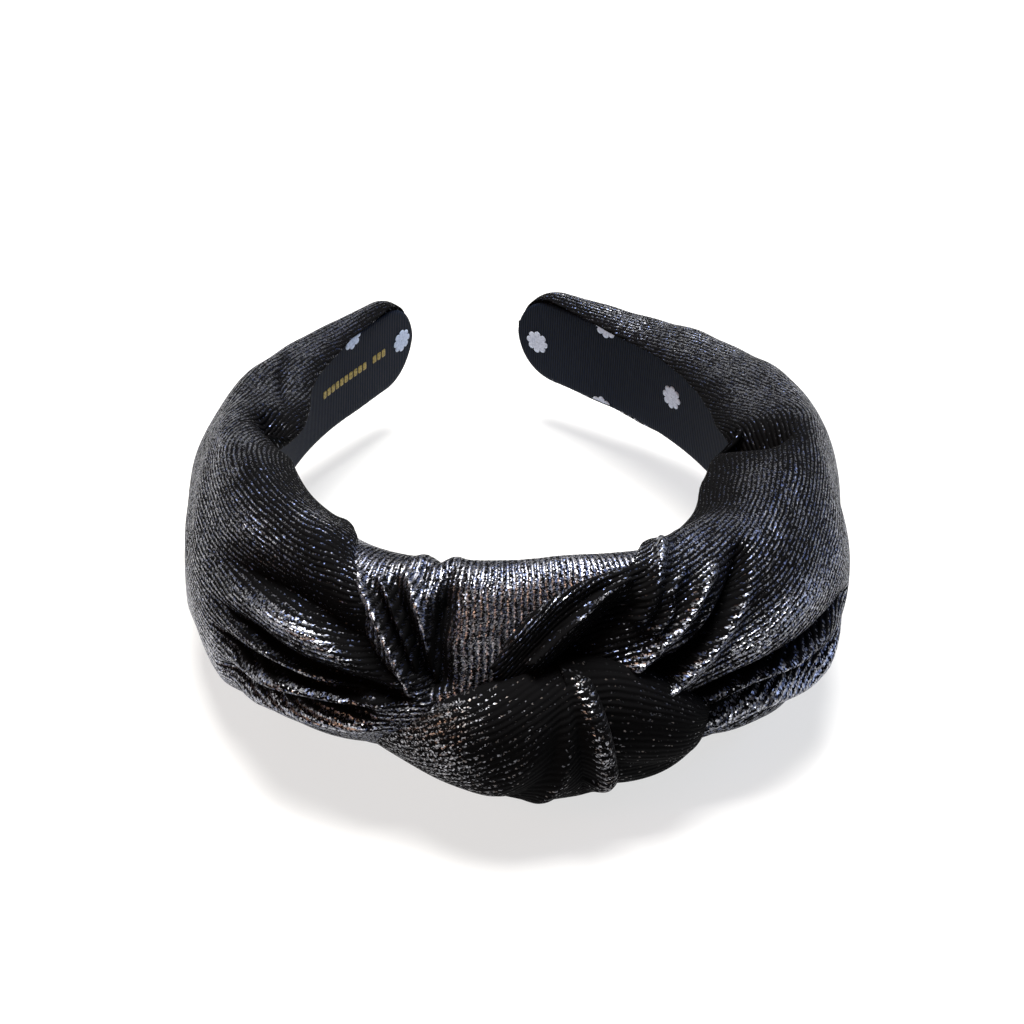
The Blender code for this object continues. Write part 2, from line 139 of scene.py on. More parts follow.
@dataclass(frozen=True)
class CoreLine:
    """The core's line from above: three arcs and a straight tip, the same on both sides."""

    arcs: Path = ((71.0, 28.0), (59.0, 62.0), (98.0, 42.3))
    tip_straight: float = 32.0
    width: float = 25.0
    thickness: float = 1.8
    height: float = 28.6

    @property
    def half_length(self) -> float:
        """Length of the line from the middle of the crown to a tip."""
        return sum(r * math.radians(turn) for r, turn in self.arcs) + self.tip_straight

    @property
    def crown_y(self) -> float:
        """Where the CAD has the line's lowest y, from the crown's own core."""
        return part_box("core_crown")[0].y / MILLIMETRE + self.thickness / 2

    def trace(self, s: Array) -> tuple[Array, Array, Array]:
        """x, y and heading at distances s from the middle, adding up each arc's turn.

        Args:
            s: distances along the line, none negative.

        Returns:
            x, y and heading, y from the crown.
        """
        x, y, heading = np.zeros_like(s), np.zeros_like(s), np.zeros_like(s)
        start, turned = 0.0, 0.0
        for radius, degrees in self.arcs:
            turn = math.radians(degrees)
            angle = np.clip((s - start) / radius, 0.0, turn)
            x += radius * (np.sin(turned + angle) - math.sin(turned))
            y -= radius * (np.cos(turned + angle) - math.cos(turned))
            heading += angle
            start += radius * turn
            turned += turn
        straight = np.maximum(s - start, 0.0)
        return x + straight * math.cos(turned), y + straight * math.sin(turned), heading

    @property
    def tip_start(self) -> float:
        """Where a tip starts to round off."""
        return self.half_length - self.width / 2

    def bend(self, s: Array, n: Array, z: Array) -> Array:
        """Places in the room: n is laid off square to the line at s.

        Args:
            s: distances along the line, negative on the left arm.
            n: distances outwards from the line.
            z: heights.

        Returns:
            (..., 3) in metres.
        """
        side = np.where(s < 0, -1.0, 1.0)
        x, y, heading = self.trace(np.abs(s))
        place = [side * (x + n * np.sin(heading)), y - n * np.cos(heading) + self.crown_y, z]
        return np.stack(place, axis=-1) * MILLIMETRE


LINE = CoreLine()


@dataclass(frozen=True)
class Section:
    """How far the cover stands out, up, down and in over the lining, along one side of the band."""

    at: tuple[float, ...]
    out: tuple[float, ...]
    up: tuple[float, ...]
    down: tuple[float, ...]
    over_top: tuple[float, ...]
    over_bottom: tuple[float, ...]
    hem: float = 2.2
    hem_width: float = 6.0
    edge_gap: float = 0.6
    slant_from: float = 88.0
    slant_over: float = 34.0
    closed: float = 0.998

    def size(self, values: tuple[float, ...], s: Array) -> Array:
        """A size at distances s: cubic spans through its values, level at the crown.

        Args:
            values: the size at each of the distances in at.
            s: row distances, of either sign.

        Returns:
            The size in mm at each s.
        """
        at, y = np.array(self.at), np.array(values)
        slopes = np.gradient(y, at)
        slopes[0] = 0.0
        s = np.clip(np.abs(s), at[0], at[-1])
        i = np.clip(np.searchsorted(at, s) - 1, 0, len(at) - 2)
        step = at[i + 1] - at[i]
        t = (s - at[i]) / step
        return (
            y[i] * (1 + 2 * t) * (1 - t) ** 2
            + slopes[i] * step * t * (1 - t) ** 2
            + y[i + 1] * t**2 * (3 - 2 * t)
            + slopes[i + 1] * step * t**2 * (t - 1)
        )

    def outline(self, s: Array, shares: Array) -> Array:
        """The section's outline at rows s: a smooth curve through knots on the hem, the core's
        edge, the overhang, the crest and the front, and the same below, where an arm's padding
        slants away outwards instead of hanging over the lining. At a tip the whole section
        shrinks as a quarter circle does, nearly to nothing.

        Args:
            s: row distances.
            shares: shares of the way round.

        Returns:
            (rows, shares, 3) of n, z from the core's middle, and the way from the front in mm.
        """
        past = np.clip((np.abs(s) - LINE.half_length + LINE.width / 2) / (LINE.width / 2), 0, 1)
        tip = np.sqrt(1.0 - (past * self.closed) ** 2)
        hem = self.hem * tip**0.5
        out = hem + (self.size(self.out, s) - self.hem) * tip
        up, down = self.size(self.up, s) * tip, self.size(self.down, s) * tip
        edge = (LINE.width / 2 + self.edge_gap) * tip
        flat = 0 * tip
        rows = []
        slant = smooth((np.abs(s) - self.slant_from) / self.slant_over)
        for sign, reach, over in ((1, up, self.over_top), (-1, down, self.over_bottom)):
            lean = self.size(over, s) * tip
            full = [
                (-hem - lean, (edge + reach) / 2),
                (0.15 * out, reach),
                (0.62 * out, reach * (1 - 0.4 * np.minimum(out / reach, 0.4))),
                (out, 0.24 * reach),
            ]
            slanted = [
                (-0.3 * hem, edge + 0.5 * tip),
                (0.24 * out, edge + 0.25 * (reach - edge) + 0.4 * tip),
                (0.72 * out, reach),
                (out, 0.42 * reach),
            ]
            mix = slant if sign < 0 else flat
            knots = [
                (a + (c - a) * mix, sign * (b + (d - b) * mix))
                for (a, b), (c, d) in zip(full, slanted)
            ]
            hems = [(-hem, sign * self.hem_width * tip), (-hem, sign * edge)]
            rows.append(hems + knots)
        knots = np.array([np.stack(p, -1) for p in rows[0] + rows[1][::-1]]).transpose(1, 0, 2)
        inner = curve_through(knots[:, 1:-1], 16)
        curve = np.concatenate([knots[:, :1], inner, knots[:, -1:]], axis=1)
        steps = np.linalg.norm(np.diff(curve, axis=1), axis=2)
        way = np.concatenate([0 * steps[:, :1], np.cumsum(steps, axis=1)], axis=1)
        found = []
        for row, length in zip(curve, way):
            wanted = shares * length[-1]
            n, z = (np.interp(wanted, length, row[:, k]) for k in range(2))
            found.append(np.stack([n, z, wanted - 0.5 * length[-1]], axis=-1))
        return np.array(found)


class Cover:
    """The cover's smooth base surface on one side, tabled once and read between its points."""

    def __init__(self, section: Section, reach: float = 20.0, step: float = 0.7) -> None:
        """Tables the section's outline and its normals.

        Args:
            section: sizes of this side.
            reach: how far the table goes past the middle of the crown.
            step: spacing of the table's rows in mm.
        """
        self.start = -reach
        self.step = step
        rows = np.arange(-reach, LINE.half_length + step, step)
        self.shares = np.linspace(0.0, 1.0, 401)
        table = section.outline(np.minimum(np.abs(rows), LINE.half_length), self.shares)
        run = np.gradient(table[..., :2], axis=1)
        normal = np.stack([-run[..., 1], run[..., 0]], axis=-1)
        normal /= np.linalg.norm(normal, axis=-1, keepdims=True) + 1e-9
        self.table = np.concatenate([table, normal], axis=-1)

    def read(self, s: Array, share: Array) -> Array:
        """The base surface at each (s, share), linear between the table's points.

        Args:
            s: distances along the core.
            share: shares of the way round.

        Returns:
            (..., 5) of n, z from the core's middle, the way, and the normal's n and z.
        """
        i = np.clip((s - self.start) / self.step, 0, self.table.shape[0] - 1.001)
        j = np.clip(share, 0, 1) * (len(self.shares) - 1.001)
        a, b = i.astype(int), j.astype(int)
        u, v = (i - a)[..., None], (j - b)[..., None]
        t = self.table
        low = t[a, b] * (1 - v) + t[a, b + 1] * v
        high = t[a + 1, b] * (1 - v) + t[a + 1, b + 1] * v
        return low * (1 - u) + high * u

    @staticmethod
    def raised(base: Array, lift: Array) -> tuple[Array, Array]:
        """n and height of points of the base raised by lift along its normals."""
        n = base[..., 0] + base[..., 3] * lift
        return n, base[..., 1] + base[..., 4] * lift + LINE.height

    def place(self, s: Array, share: Array, lift: Array, along: Array, floor: float) -> Array:
        """Places of points raised from the base, none of them lower than a floor.

        Args:
            s: distances along the core, where the base is read.
            share: shares of the way round.
            lift: millimetres outwards.
            along: the same distances, negative on the left arm.
            floor: lowest height; a point under it is eased up to it.

        Returns:
            (..., 3) in metres.
        """
        n, z = self.raised(self.read(s, share), lift)
        return LINE.bend(along, n, eased(z, floor))


# ---- Folds -----------------------------------------------------------------------------------


# Length of the way round a section in mm, which turns a share into mm across a fold.
WAY = 150.0
# Painted light where no fold or stretch of painted shade changes it, from 0 to 1.
BASE_PAINTED_LIGHT = 0.6
STUFFING_WAVES = (46.0, 33.0, 25.0, 19.0, 14.0, 11.0)


class Kind(Enum):
    """The two shapes of a fold's cross-section."""

    RIDGE = "round"
    VALLEY = "sharp"


@dataclass(frozen=True)
class Fold:
    """A fold of the cover along a path of (s, share) points, in mm high and wide. It also paints
    light and shade on the cover: a ridge lighter and a valley darker, by a set amount for each mm
    of height, plus a fixed amount of painted shade."""

    kind: Kind
    height: float
    upper: float
    lower: float
    path: Path
    start: float = 0.0
    end: float = 1.0
    painted_light: float = 0.16
    painted_shade: float = 0.0

    def weight(self, s: Array, share: Array, way: float) -> Array:
        """The fold's share at each point: a bell round its path for a ridge, and a cusp for a
        valley, each with its own width above and below, grown along the path from start to end.

        Args:
            s: distances along the core.
            share: shares of the way round.
            way: length of the way round in mm.

        Returns:
            1 on a ridge's path and -1 on a valley's, fading to 0 away from it.
        """
        scale = np.array([1.0, way])
        line = curve_through(np.array([self.path]) * scale, 8)[0]
        along = np.linspace(0.0, 1.0, len(line))
        nearest = np.full(s.shape, np.inf)
        signed, at = np.zeros_like(s), np.zeros_like(s)
        for a, b, t0, t1 in zip(line[:-1], line[1:], along[:-1], along[1:]):
            d = b - a
            ps, pv = s - a[0], share * way - a[1]
            t = np.clip((ps * d[0] + pv * d[1]) / (d @ d), 0.0, 1.0)
            gap = np.hypot(ps - t * d[0], pv - t * d[1])
            near = gap < nearest
            nearest = np.where(near, gap, nearest)
            signed = np.where(near, np.sign(pv * abs(d[0]) - ps * d[1] * np.sign(d[0])), signed)
            at = np.where(near, t0 + t * (t1 - t0), at)
        x = nearest / np.where(signed < 0, self.upper, self.lower)
        bell = np.exp(-x * x)
        cusp = 0.6 * np.exp(-1.3 * x) + 0.4 * bell
        grown = np.interp(at, (0.0, 0.3, 0.8, 1.0), (self.start, 1.0, 1.0, self.end))
        return (bell if self.kind is Kind.RIDGE else -cusp) * grown


def folded(folds: tuple[Fold, ...], s: Array, share: Array) -> tuple[Array, Array]:
    """The sum of folds.

    Args:
        folds: the folds.
        s: distances along the core.
        share: shares of the way round.

    Returns:
        The lift in mm, and the painted light and shade.
    """
    lift, painted_light = np.zeros_like(s), np.full_like(s, BASE_PAINTED_LIGHT)
    for fold in folds:
        weight = fold.weight(s, share, WAY)
        lift = lift + weight * fold.height
        painted_light = painted_light + weight * (fold.painted_light * fold.height + fold.painted_shade)
    return lift, painted_light


def ridge(height: float, upper: float, lower: float, *path: Pair, **ends: float) -> Fold:
    """A round-topped fold."""
    return Fold(Kind.RIDGE, height, upper, lower, path, **ends)


def valley(height: float, upper: float, lower: float, *path: Pair, **ends: float) -> Fold:
    """A sharp-bottomed fold."""
    return Fold(Kind.VALLEY, height, upper, lower, path, **ends)


def painted_shade(amount: float, upper: float, lower: float, *path: Pair) -> Fold:
    """A stretch of painted shade with no fold in it."""
    return Fold(Kind.VALLEY, 0.0, upper, lower, path, start=1.0, painted_shade=amount)


def softness(s: Array, way: Array, seed: int, size: float) -> Array:
    """The uneven fullness of hand-stuffed fabric: six long waves, each turned and shifted by the
    seed, and each as high as it is long.

    Args:
        s: distances along the core.
        way: millimetres round the section.
        seed: starts the random draws.
        size: about how many mm the waves lift.

    Returns:
        The lift in mm.
    """
    rng = np.random.default_rng(seed)
    total = np.zeros_like(s)
    for length in STUFFING_WAVES:
        turn, phase = rng.uniform(0, 2 * math.pi, 2)
        across = s * math.cos(turn) + way * math.sin(turn)
        total += np.sin(2 * math.pi * across / length + phase) * length / STUFFING_WAVES[0]
    return size * total / 2.0


# ---- Meshes ----------------------------------------------------------------------------------


def make_piece(
    name: str,
    places: Array,
    faces: Array,
    uv: Array,
    material: bpy.types.Material,
    painted_light: Array | None = None,
) -> bpy.types.Object:
    """Puts points, four-sided faces and their UV points, in mm of fabric, into a new object.

    Args:
        name: the piece's name.
        places: (points, 3) in metres.
        faces: (faces, 4) of point numbers, facing outwards.
        uv: (points, 2) of fabric places in mm.
        material: the finish.
        painted_light: the painted light and shade at each point, kept as an attribute.

    Returns:
        The object, at the origin.
    """
    mesh = bpy.data.meshes.new(name)
    mesh.vertices.add(len(places))
    mesh.vertices.foreach_set("co", places.astype(np.float32).ravel())
    mesh.loops.add(faces.size)
    mesh.loops.foreach_set("vertex_index", faces.astype(np.int32).ravel())
    mesh.polygons.add(len(faces))
    mesh.polygons.foreach_set("loop_start", np.arange(0, faces.size, 4, dtype=np.int32))
    mesh.polygons.foreach_set("loop_total", np.full(len(faces), 4, np.int32))
    layer = mesh.uv_layers.new(name="fabric_mm")
    layer.data.foreach_set("uv", uv[faces.ravel()].astype(np.float32).ravel())
    if painted_light is not None:
        stands = mesh.attributes.new("painted_light", "FLOAT", "POINT")
        stands.data.foreach_set("value", np.clip(painted_light, 0.0, 1.0).astype(np.float32).ravel())
    mesh.update(calc_edges=True)
    mesh.validate()
    mesh.polygons.foreach_set("use_smooth", np.ones(len(mesh.polygons), bool))
    mesh.materials.append(material)
    obj = bpy.data.objects.new(name, mesh)
    bpy.context.scene.collection.objects.link(obj)
    return obj


def grid_faces(numbers: Array) -> Array:
    """Four-sided faces of a grid of point numbers."""
    n = numbers
    return np.stack([n[:-1, :-1], n[1:, :-1], n[1:, 1:], n[:-1, 1:]], -1).reshape(-1, 4)


def slab(
    name: str,
    face: Array,
    back: Array,
    uv: Array,
    material: bpy.types.Material,
    flip: bool,
    painted_light: Array | None = None,
) -> bpy.types.Object:
    """A closed piece between two grids: its face, its back turned over, and four strips of edge.

    Args:
        name: the piece's name.
        face: (rows, columns, 3) of the outside.
        back: the same of the inside.
        uv: (rows, columns, 2) in mm.
        material: the finish.
        flip: turns every face over.
        painted_light: the painted light and shade of each point of the outside.

    Returns:
        The object.
    """
    rows, columns = face.shape[:2]
    front = np.arange(rows * columns).reshape(rows, columns)
    behind = front + rows * columns
    faces = [grid_faces(front), grid_faces(behind)[:, ::-1]]
    for a, b, turn in (
        (front[0], behind[0], 1),
        (front[-1], behind[-1], -1),
        (front[:, 0], behind[:, 0], -1),
        (front[:, -1], behind[:, -1], 1),
    ):
        faces.append(np.stack([a[:-1], a[1:], b[1:], b[:-1]], -1)[:, ::turn])
    order = np.concatenate(faces)
    places = np.concatenate([face.reshape(-1, 3), back.reshape(-1, 3)])
    fabric = np.concatenate([uv.reshape(-1, 2)] * 2)
    stands = None if painted_light is None else np.concatenate([painted_light.ravel()] * 2)
    return make_piece(name, places, order[:, ::-1] if flip else order, fabric, material, stands)


def tube(
    name: str, rings: Array, uv: Array, material: bpy.types.Material, flip: bool, painted_light: Array
) -> bpy.types.Object:
    """A closed piece through rings of points, each ring joined to itself and both ends filled
    by faces from its upper half to its lower.

    Args:
        name: the piece's name.
        rings: (rows, columns, 3) in metres.
        uv: (rows, columns, 2) in mm.
        material: the finish.
        flip: turns every face over.
        painted_light: the painted light and shade at each point.

    Returns:
        The object.
    """
    rows, columns = rings.shape[:2]
    number = np.arange(rows * columns).reshape(rows, columns)
    around = np.concatenate([number, number[:, :1]], axis=1)
    half = columns // 2
    faces = [grid_faces(around)]
    for row, turn in ((number[0], 1), (number[-1], -1)):
        top, low = row[:half], row[::-1][:half]
        faces.append(np.stack([top[:-1], top[1:], low[1:], low[:-1]], -1)[:, ::turn])
    order = np.concatenate(faces)
    order = order[:, ::-1] if flip else order
    return make_piece(name, rings.reshape(-1, 3), order, uv.reshape(-1, 2), material, painted_light)


# ---- Finishes --------------------------------------------------------------------------------


class Nodes:
    """The node tree of one material, and a way to add to it."""

    def __init__(self, name: str) -> None:
        """Starts a material with its Principled shader and output.

        Args:
            name: the finish's name.
        """
        self.material = bpy.data.materials.new(name)
        self.material.use_nodes = True
        self.tree = self.material.node_tree
        self.shader = self.tree.nodes["Principled BSDF"]

    def add(
        self, kind: str, links: dict | None = None, out: int | str = 0, **settings: object
    ) -> bpy.types.NodeSocket:
        """Adds a node.

        Args:
            kind: the node's type name, after ShaderNode.
            links: what feeds each input: an output socket to link, or a plain value.
            out: the output wanted.
            settings: the node's own properties.

        Returns:
            That output. Its node gives the others.
        """
        node = self.tree.nodes.new(f"ShaderNode{kind}")
        for key, value in settings.items():
            setattr(node, key, value)
        for key, value in (links or {}).items():
            self.feed(node.inputs[key], value)
        return node.outputs[out]

    def feed(self, socket: bpy.types.NodeSocket, value: object) -> None:
        """Links an output to a socket, or sets the socket to a plain value.

        Args:
            socket: the input.
            value: an output socket, or a number or colour.
        """
        if isinstance(value, bpy.types.NodeSocket):
            self.tree.links.new(value, socket)
        else:
            socket.default_value = value

    def dress(self, values: dict[str, object]) -> bpy.types.Material:
        """Feeds the shader.

        Args:
            values: what feeds each of the shader's inputs.

        Returns:
            The finished material.
        """
        for key, value in values.items():
            self.feed(self.shader.inputs[key], value)
        return self.material


# Settings of the nodes used most, and the sockets of a colour Mix node.
TIMES = {"operation": "MULTIPLY"}
TIMES_PLUS = {"operation": "MULTIPLY_ADD"}
STEP = {"interpolation_type": "SMOOTHSTEP"}
MIX = {"data_type": "RGBA", "out": 2}
MIX_A, MIX_B = 6, 7


@dataclass(frozen=True)
class GlitterVelvet:
    """Stretch velvet knitted with a metallic thread.

    The pile is cut short over a rib knit, so it stays near black and shows its ribs, and flat
    foil thread in each rib catches the light as separate silver points. The thread is about
    0.1 mm wide: its points are drawn at 0.27 mm, the smallest that shows. The ribs wander by
    1.6 mm, as stretched fabric's do, and rubbing leaves cloudy stretches a few mm wide.
    """

    name: str
    ground: str = "040405"
    spark_low: str = "1A1A1E"
    spark_high: str = "C4C6CE"
    cool: str = "5C6A94"
    rib: float = 1.22
    wander: float = 1.6
    spark: float = 0.27
    sparks: float = 0.5
    crest: float = 0.55
    rib_depth: float = 0.16
    tilt: float = 0.42
    foil_roughness: float = 0.35
    pile_roughness: float = 0.9
    pile_specular: float = 0.04

    def material(self) -> bpy.types.Material:
        """Ribs are a sine across the fabric; each cell of a cell pattern is one foil point with
        its own brightness and its own tilt. Points show most on the crests of the ribs. The mesh's
        attribute of painted light and shade sets how many show and how bright they are: few and dim
        where shade is painted, more and brighter where light is painted.

        Returns:
            The material.
        """
        made = Nodes(self.name)
        add = made.add
        place = add("UVMap", uv_map="fabric_mm")
        across = add("SeparateXYZ", {0: place}).node.outputs[1]
        noise = add("TexNoise", {"Vector": place, "Scale": 0.12, "Detail": 2.0})
        across = add("Math", {0: noise, 1: self.wander, 2: across}, **TIMES_PLUS)
        turns = add("Math", {0: across, 1: 2 * math.pi / self.rib}, **TIMES)
        wave = add("Math", {0: turns}, operation="SINE")
        crest = add("MapRange", {"Value": wave, "From Min": -0.9, "From Max": 0.9}, **STEP)
        cells = {"Vector": place, "Scale": 1.0 / self.spark, "Randomness": 1.0}
        cell = add("TexVoronoi", cells, out="Color")
        own = add("SeparateColor", {0: cell}).node.outputs

        rubbed = add("TexNoise", {"Vector": place, "Scale": 0.09, "Detail": 3.0})
        rubbed = add("Math", {0: rubbed, 1: 0.5, 2: -0.25}, **TIMES_PLUS)
        # Painted light and shade from the mesh attribute, with random rubbed cloudiness added.
        painted_light = add("Attribute", attribute_name="painted_light", out="Fac")
        painted_light = add("Math", {0: painted_light, 1: rubbed}, operation="ADD")
        chance = add("Math", {0: crest, 1: self.crest, 2: own[0]}, **TIMES_PLUS)
        chance = add("Math", {0: painted_light, 1: 0.9, 2: chance}, **TIMES_PLUS)
        seen = {"Value": chance, "From Min": 1.85 - self.sparks, "From Max": 1.93 - self.sparks}
        lit = add("MapRange", seen, **STEP)

        strength = add("Math", {0: own[1], 1: 1.8}, operation="POWER")
        # Foil points are dimmed where shade is painted and brightened where light is painted.
        painted_light_gain = add("MapRange", {"Value": painted_light, "From Min": 0.05, "From Max": 0.95}, **STEP)
        painted_light_gain = add("Math", {0: painted_light_gain, 1: 1.1, 2: 0.1}, **TIMES_PLUS)
        strength = add("Math", {0: strength, 1: painted_light_gain}, **TIMES)
        low, high = linear(self.spark_low), linear(self.spark_high)
        foil = add("Mix", {"Factor": strength, MIX_A: low, MIX_B: high}, **MIX)
        bluish = add("MapRange", {"Value": own[2], "From Min": 0.7, "From Max": 0.9}, **STEP)
        bluish = add("Math", {0: bluish, 1: 0.45}, **TIMES)
        foil = add("Mix", {"Factor": bluish, MIX_A: foil, MIX_B: linear(self.cool)}, **MIX)
        colour = add("Mix", {"Factor": lit, MIX_A: linear(self.ground), MIX_B: foil}, **MIX)
        drop = self.foil_roughness - self.pile_roughness
        rough = add("Math", {0: lit, 1: drop, 2: self.pile_roughness}, **TIMES_PLUS)

        depth = {"Height": wave, "Distance": self.rib_depth * MILLIMETRE, "Strength": 0.8}
        bump = add("Bump", depth)
        off = add("VectorMath", {0: cell, 1: (0.5, 0.5, 0.5)}, operation="SUBTRACT")
        share = add("Math", {0: lit, 1: self.tilt}, **TIMES)
        lean = add("VectorMath", {0: off, "Scale": share}, operation="SCALE")
        total = add("VectorMath", {0: bump, 1: lean}, operation="ADD")
        return made.dress(
            {
                "Base Color": colour,
                "Metallic": add("Math", {0: lit, 1: 0.95}, **TIMES),
                "Roughness": rough,
                "Specular IOR Level": self.pile_specular,
                "Normal": add("VectorMath", {0: total}, operation="NORMALIZE"),
            }
        )


@dataclass(frozen=True)
class Grosgrain:
    """Polyester grosgrain ribbon: a thick weft under a fine warp gives cross ribs 0.8 mm apart,
    dull, with a faint light on each rib."""

    name: str
    ground: str = "030914"
    raised: str = "081326"
    rib: float = 0.8
    rib_depth: float = 0.08

    def material(self) -> bpy.types.Material:
        """Cross ribs are a sine along the ribbon, broken by fine noise.

        Returns:
            The material.
        """
        made = Nodes(self.name)
        add = made.add
        place = add("UVMap", uv_map="fabric_mm")
        along = add("SeparateXYZ", {0: place})
        turns = add("Math", {0: along, 1: 2 * math.pi / self.rib}, **TIMES)
        wave = add("Math", {0: turns}, operation="SINE")
        grain = add("TexNoise", {"Vector": place, "Scale": 1.1, "Detail": 4.0})
        share = add("Math", {0: wave, 1: 0.25, 2: grain}, **TIMES_PLUS)
        share = add("MapRange", {"Value": share, "From Min": 0.2, "From Max": 0.9}, **STEP)
        low, high = linear(self.ground), linear(self.raised)
        depth = {"Height": wave, "Distance": self.rib_depth * MILLIMETRE, "Strength": 0.6}
        return made.dress(
            {
                "Base Color": add("Mix", {"Factor": share, MIX_A: low, MIX_B: high}, **MIX),
                "Roughness": add("Math", {0: grain, 1: 0.2, 2: 0.6}, **TIMES_PLUS),
                "Specular IOR Level": 0.1,
                "Normal": add("Bump", depth),
            }
        )


@dataclass(frozen=True)
class Print:
    """A colour printed on ribbon: flat ink or foil that takes a little of the weave, so it looks
    even from afar and slightly worn from near."""

    name: str
    colour: str
    worn: str
    metallic: float
    roughness: float

    def material(self) -> bpy.types.Material:
        """Fine noise, in grains of about half a millimetre, wears the colour and roughens it.

        Returns:
            The material.
        """
        made = Nodes(self.name)
        add = made.add
        place = add("TexCoord", out="Object")
        grain = add("TexNoise", {"Vector": place, "Scale": 1800.0, "Detail": 3.0})
        wear = add("MapRange", {"Value": grain, "From Min": 0.35, "From Max": 0.75}, **STEP)
        low, high = linear(self.colour), linear(self.worn)
        return made.dress(
            {
                "Base Color": add("Mix", {"Factor": wear, MIX_A: low, MIX_B: high}, **MIX),
                "Roughness": add("Math", {0: wear, 1: 0.2, 2: self.roughness}, **TIMES_PLUS),
                "Metallic": self.metallic,
            }
        )


@dataclass(frozen=True)
class MouldedAbs:
    """Injection-moulded ABS: even black with the faint grain of a spark-eroded mould, which
    gives it a satin light."""

    name: str = "black_moulded_abs"
    colour: str = "101012"
    grain_depth: float = 0.03

    def material(self) -> bpy.types.Material:
        """A fine grain in bump and roughness.

        Returns:
            The material.
        """
        made = Nodes(self.name)
        add = made.add
        place = add("TexCoord", out="Object")
        grain = add("TexNoise", {"Vector": place, "Scale": 1500.0, "Detail": 2.0})
        depth = {"Height": grain, "Distance": self.grain_depth * MILLIMETRE}
        return made.dress(
            {
                "Base Color": linear(self.colour),
                "Roughness": add("Math", {0: grain, 1: 0.15, 2: 0.38}, **TIMES_PLUS),
                "Normal": add("Bump", depth),
            }
        )


# ---- The covers ------------------------------------------------------------------------------

# Sizes in mm at these distances from the middle of the crown.
AT = (0.0, 20.0, 40.6, 60.0, 81.2, 100.0, 121.7, 145.0, 166.4, 185.0, 203.0)
SECTIONS = {
    Side.LEFT: Section(
        at=AT,
        out=(19.0, 23.5, 26.6, 23.4, 18.2, 15.8, 14.6, 10.6, 8.0, 6.6, 4.0),
        up=(31.0, 29.6, 27.6, 28.8, 30.5, 27.6, 23.4, 19.8, 16.4, 14.6, 13.8),
        down=(19.5, 20.0, 22.0, 25.4, 28.6, 26.8, 19.6, 17.0, 15.2, 14.0, 13.4),
        over_top=(3.0, 3.6, 4.2, 5.4, 6.2, 8.8, 10.5, 7.0, 4.6, 1.8, 0.2),
        over_bottom=(1.0, 2.4, 4.6, 6.2, 6.8, 5.0, 0.0, 0.0, 0.0, 0.0, 0.0),
    ),
    Side.RIGHT: Section(
        at=AT,
        out=(19.0, 23.5, 26.6, 22.6, 17.0, 18.6, 18.0, 13.4, 10.0, 7.2, 4.0),
        up=(31.0, 29.0, 28.2, 30.4, 31.0, 27.6, 23.4, 19.8, 16.4, 14.6, 13.8),
        down=(19.5, 23.5, 28.0, 31.0, 31.0, 26.8, 19.6, 17.0, 15.2, 14.0, 13.4),
        over_top=(3.0, 3.4, 7.6, 12.4, 13.8, 12.0, 9.6, 8.0, 5.6, 2.4, 0.2),
        over_bottom=(1.0, 2.4, 4.6, 6.2, 6.8, 5.0, 0.0, 0.0, 0.0, 0.0, 0.0),
    ),
}
COVERS = {side: Cover(section) for side, section in SECTIONS.items()}

# The folds, stretches of painted shade among them: a height (or how much shade is painted),
# the width above and below the path, and the path as (s, share), from the arm towards the knot.
LEFT_FOLDS = (
    valley(
        5.0, 5.5, 4.5, (75.6, 0.41), (65.4, 0.38), (56.4, 0.365), (47.4, 0.357), (41.4, 0.372),
        (35.4, 0.398), (30.6, 0.445),
    ),
    ridge(
        2.6, 2.4, 2.4, (67.2, 0.417), (58.2, 0.405), (49.8, 0.405), (42, 0.415), (34.8, 0.445),
        (28.8, 0.482),
    ),
    valley(
        5.0, 2.0, 2.2, (71.4, 0.47), (61.8, 0.455), (54, 0.455), (46.8, 0.46), (40.2, 0.465),
        (34.8, 0.478), (28.8, 0.495),
    ),
    ridge(2.0, 1.4, 1.4, (64.8, 0.475), (54.6, 0.468), (46.2, 0.473), (39.6, 0.478), (33, 0.49)),
    valley(5.0, 1.8, 2.0, (69, 0.508), (58.8, 0.503), (49.2, 0.495), (42, 0.495), (36, 0.495)),
    ridge(2.6, 1.8, 2.0, (63, 0.54), (54, 0.52), (45, 0.508), (38.4, 0.508), (31.2, 0.51)),
    valley(4.4, 2.0, 2.0, (66, 0.575), (59.4, 0.562), (49.8, 0.545), (42, 0.53), (34.2, 0.527)),
    ridge(2.0, 2.4, 3.0, (64, 0.61), (54, 0.585), (44, 0.57), (34.2, 0.56)),
    ridge(3.0, 9.0, 14.0, (96, 0.59), (84, 0.6), (70, 0.61), (62, 0.615), start=0.2, end=0.4),
    valley(2.6, 2.4, 3.0, (72, 0.78), (58, 0.74), (44, 0.7), (28, 0.66)),
    valley(
        8.5, 3.6, 5.2, (112, 0.265), (108, 0.225), (104.5, 0.185), (101, 0.15), (99, 0.12),
        start=0.1,
    ),
    valley(2.0, 4.0, 3.0, (150, 0.3), (130, 0.26), (116, 0.22), start=0.0, end=0.4),
    valley(2.0, 3.0, 4.0, (108, 0.72), (96, 0.8), (86, 0.9), start=0.0),
    painted_shade(0.80, 5.0, 6.0, (109, 0.245), (105, 0.205), (102, 0.165), (99, 0.13)),
    painted_shade(0.40, 9.0, 7.0, (76, 0.25), (60, 0.258), (50, 0.275), (43, 0.31)),
    painted_shade(
        0.70, 3.6, 4.4, (49, 0.245), (45.5, 0.29), (41, 0.345), (37, 0.395), (33, 0.45), (30, 0.49),
    ),
    ridge(
        1.8, 3.5, 5.0, (60, 0.2), (52, 0.225), (47.5, 0.28), (42, 0.33), (37, 0.385), start=0.2,
        end=0.5,
    ),
)
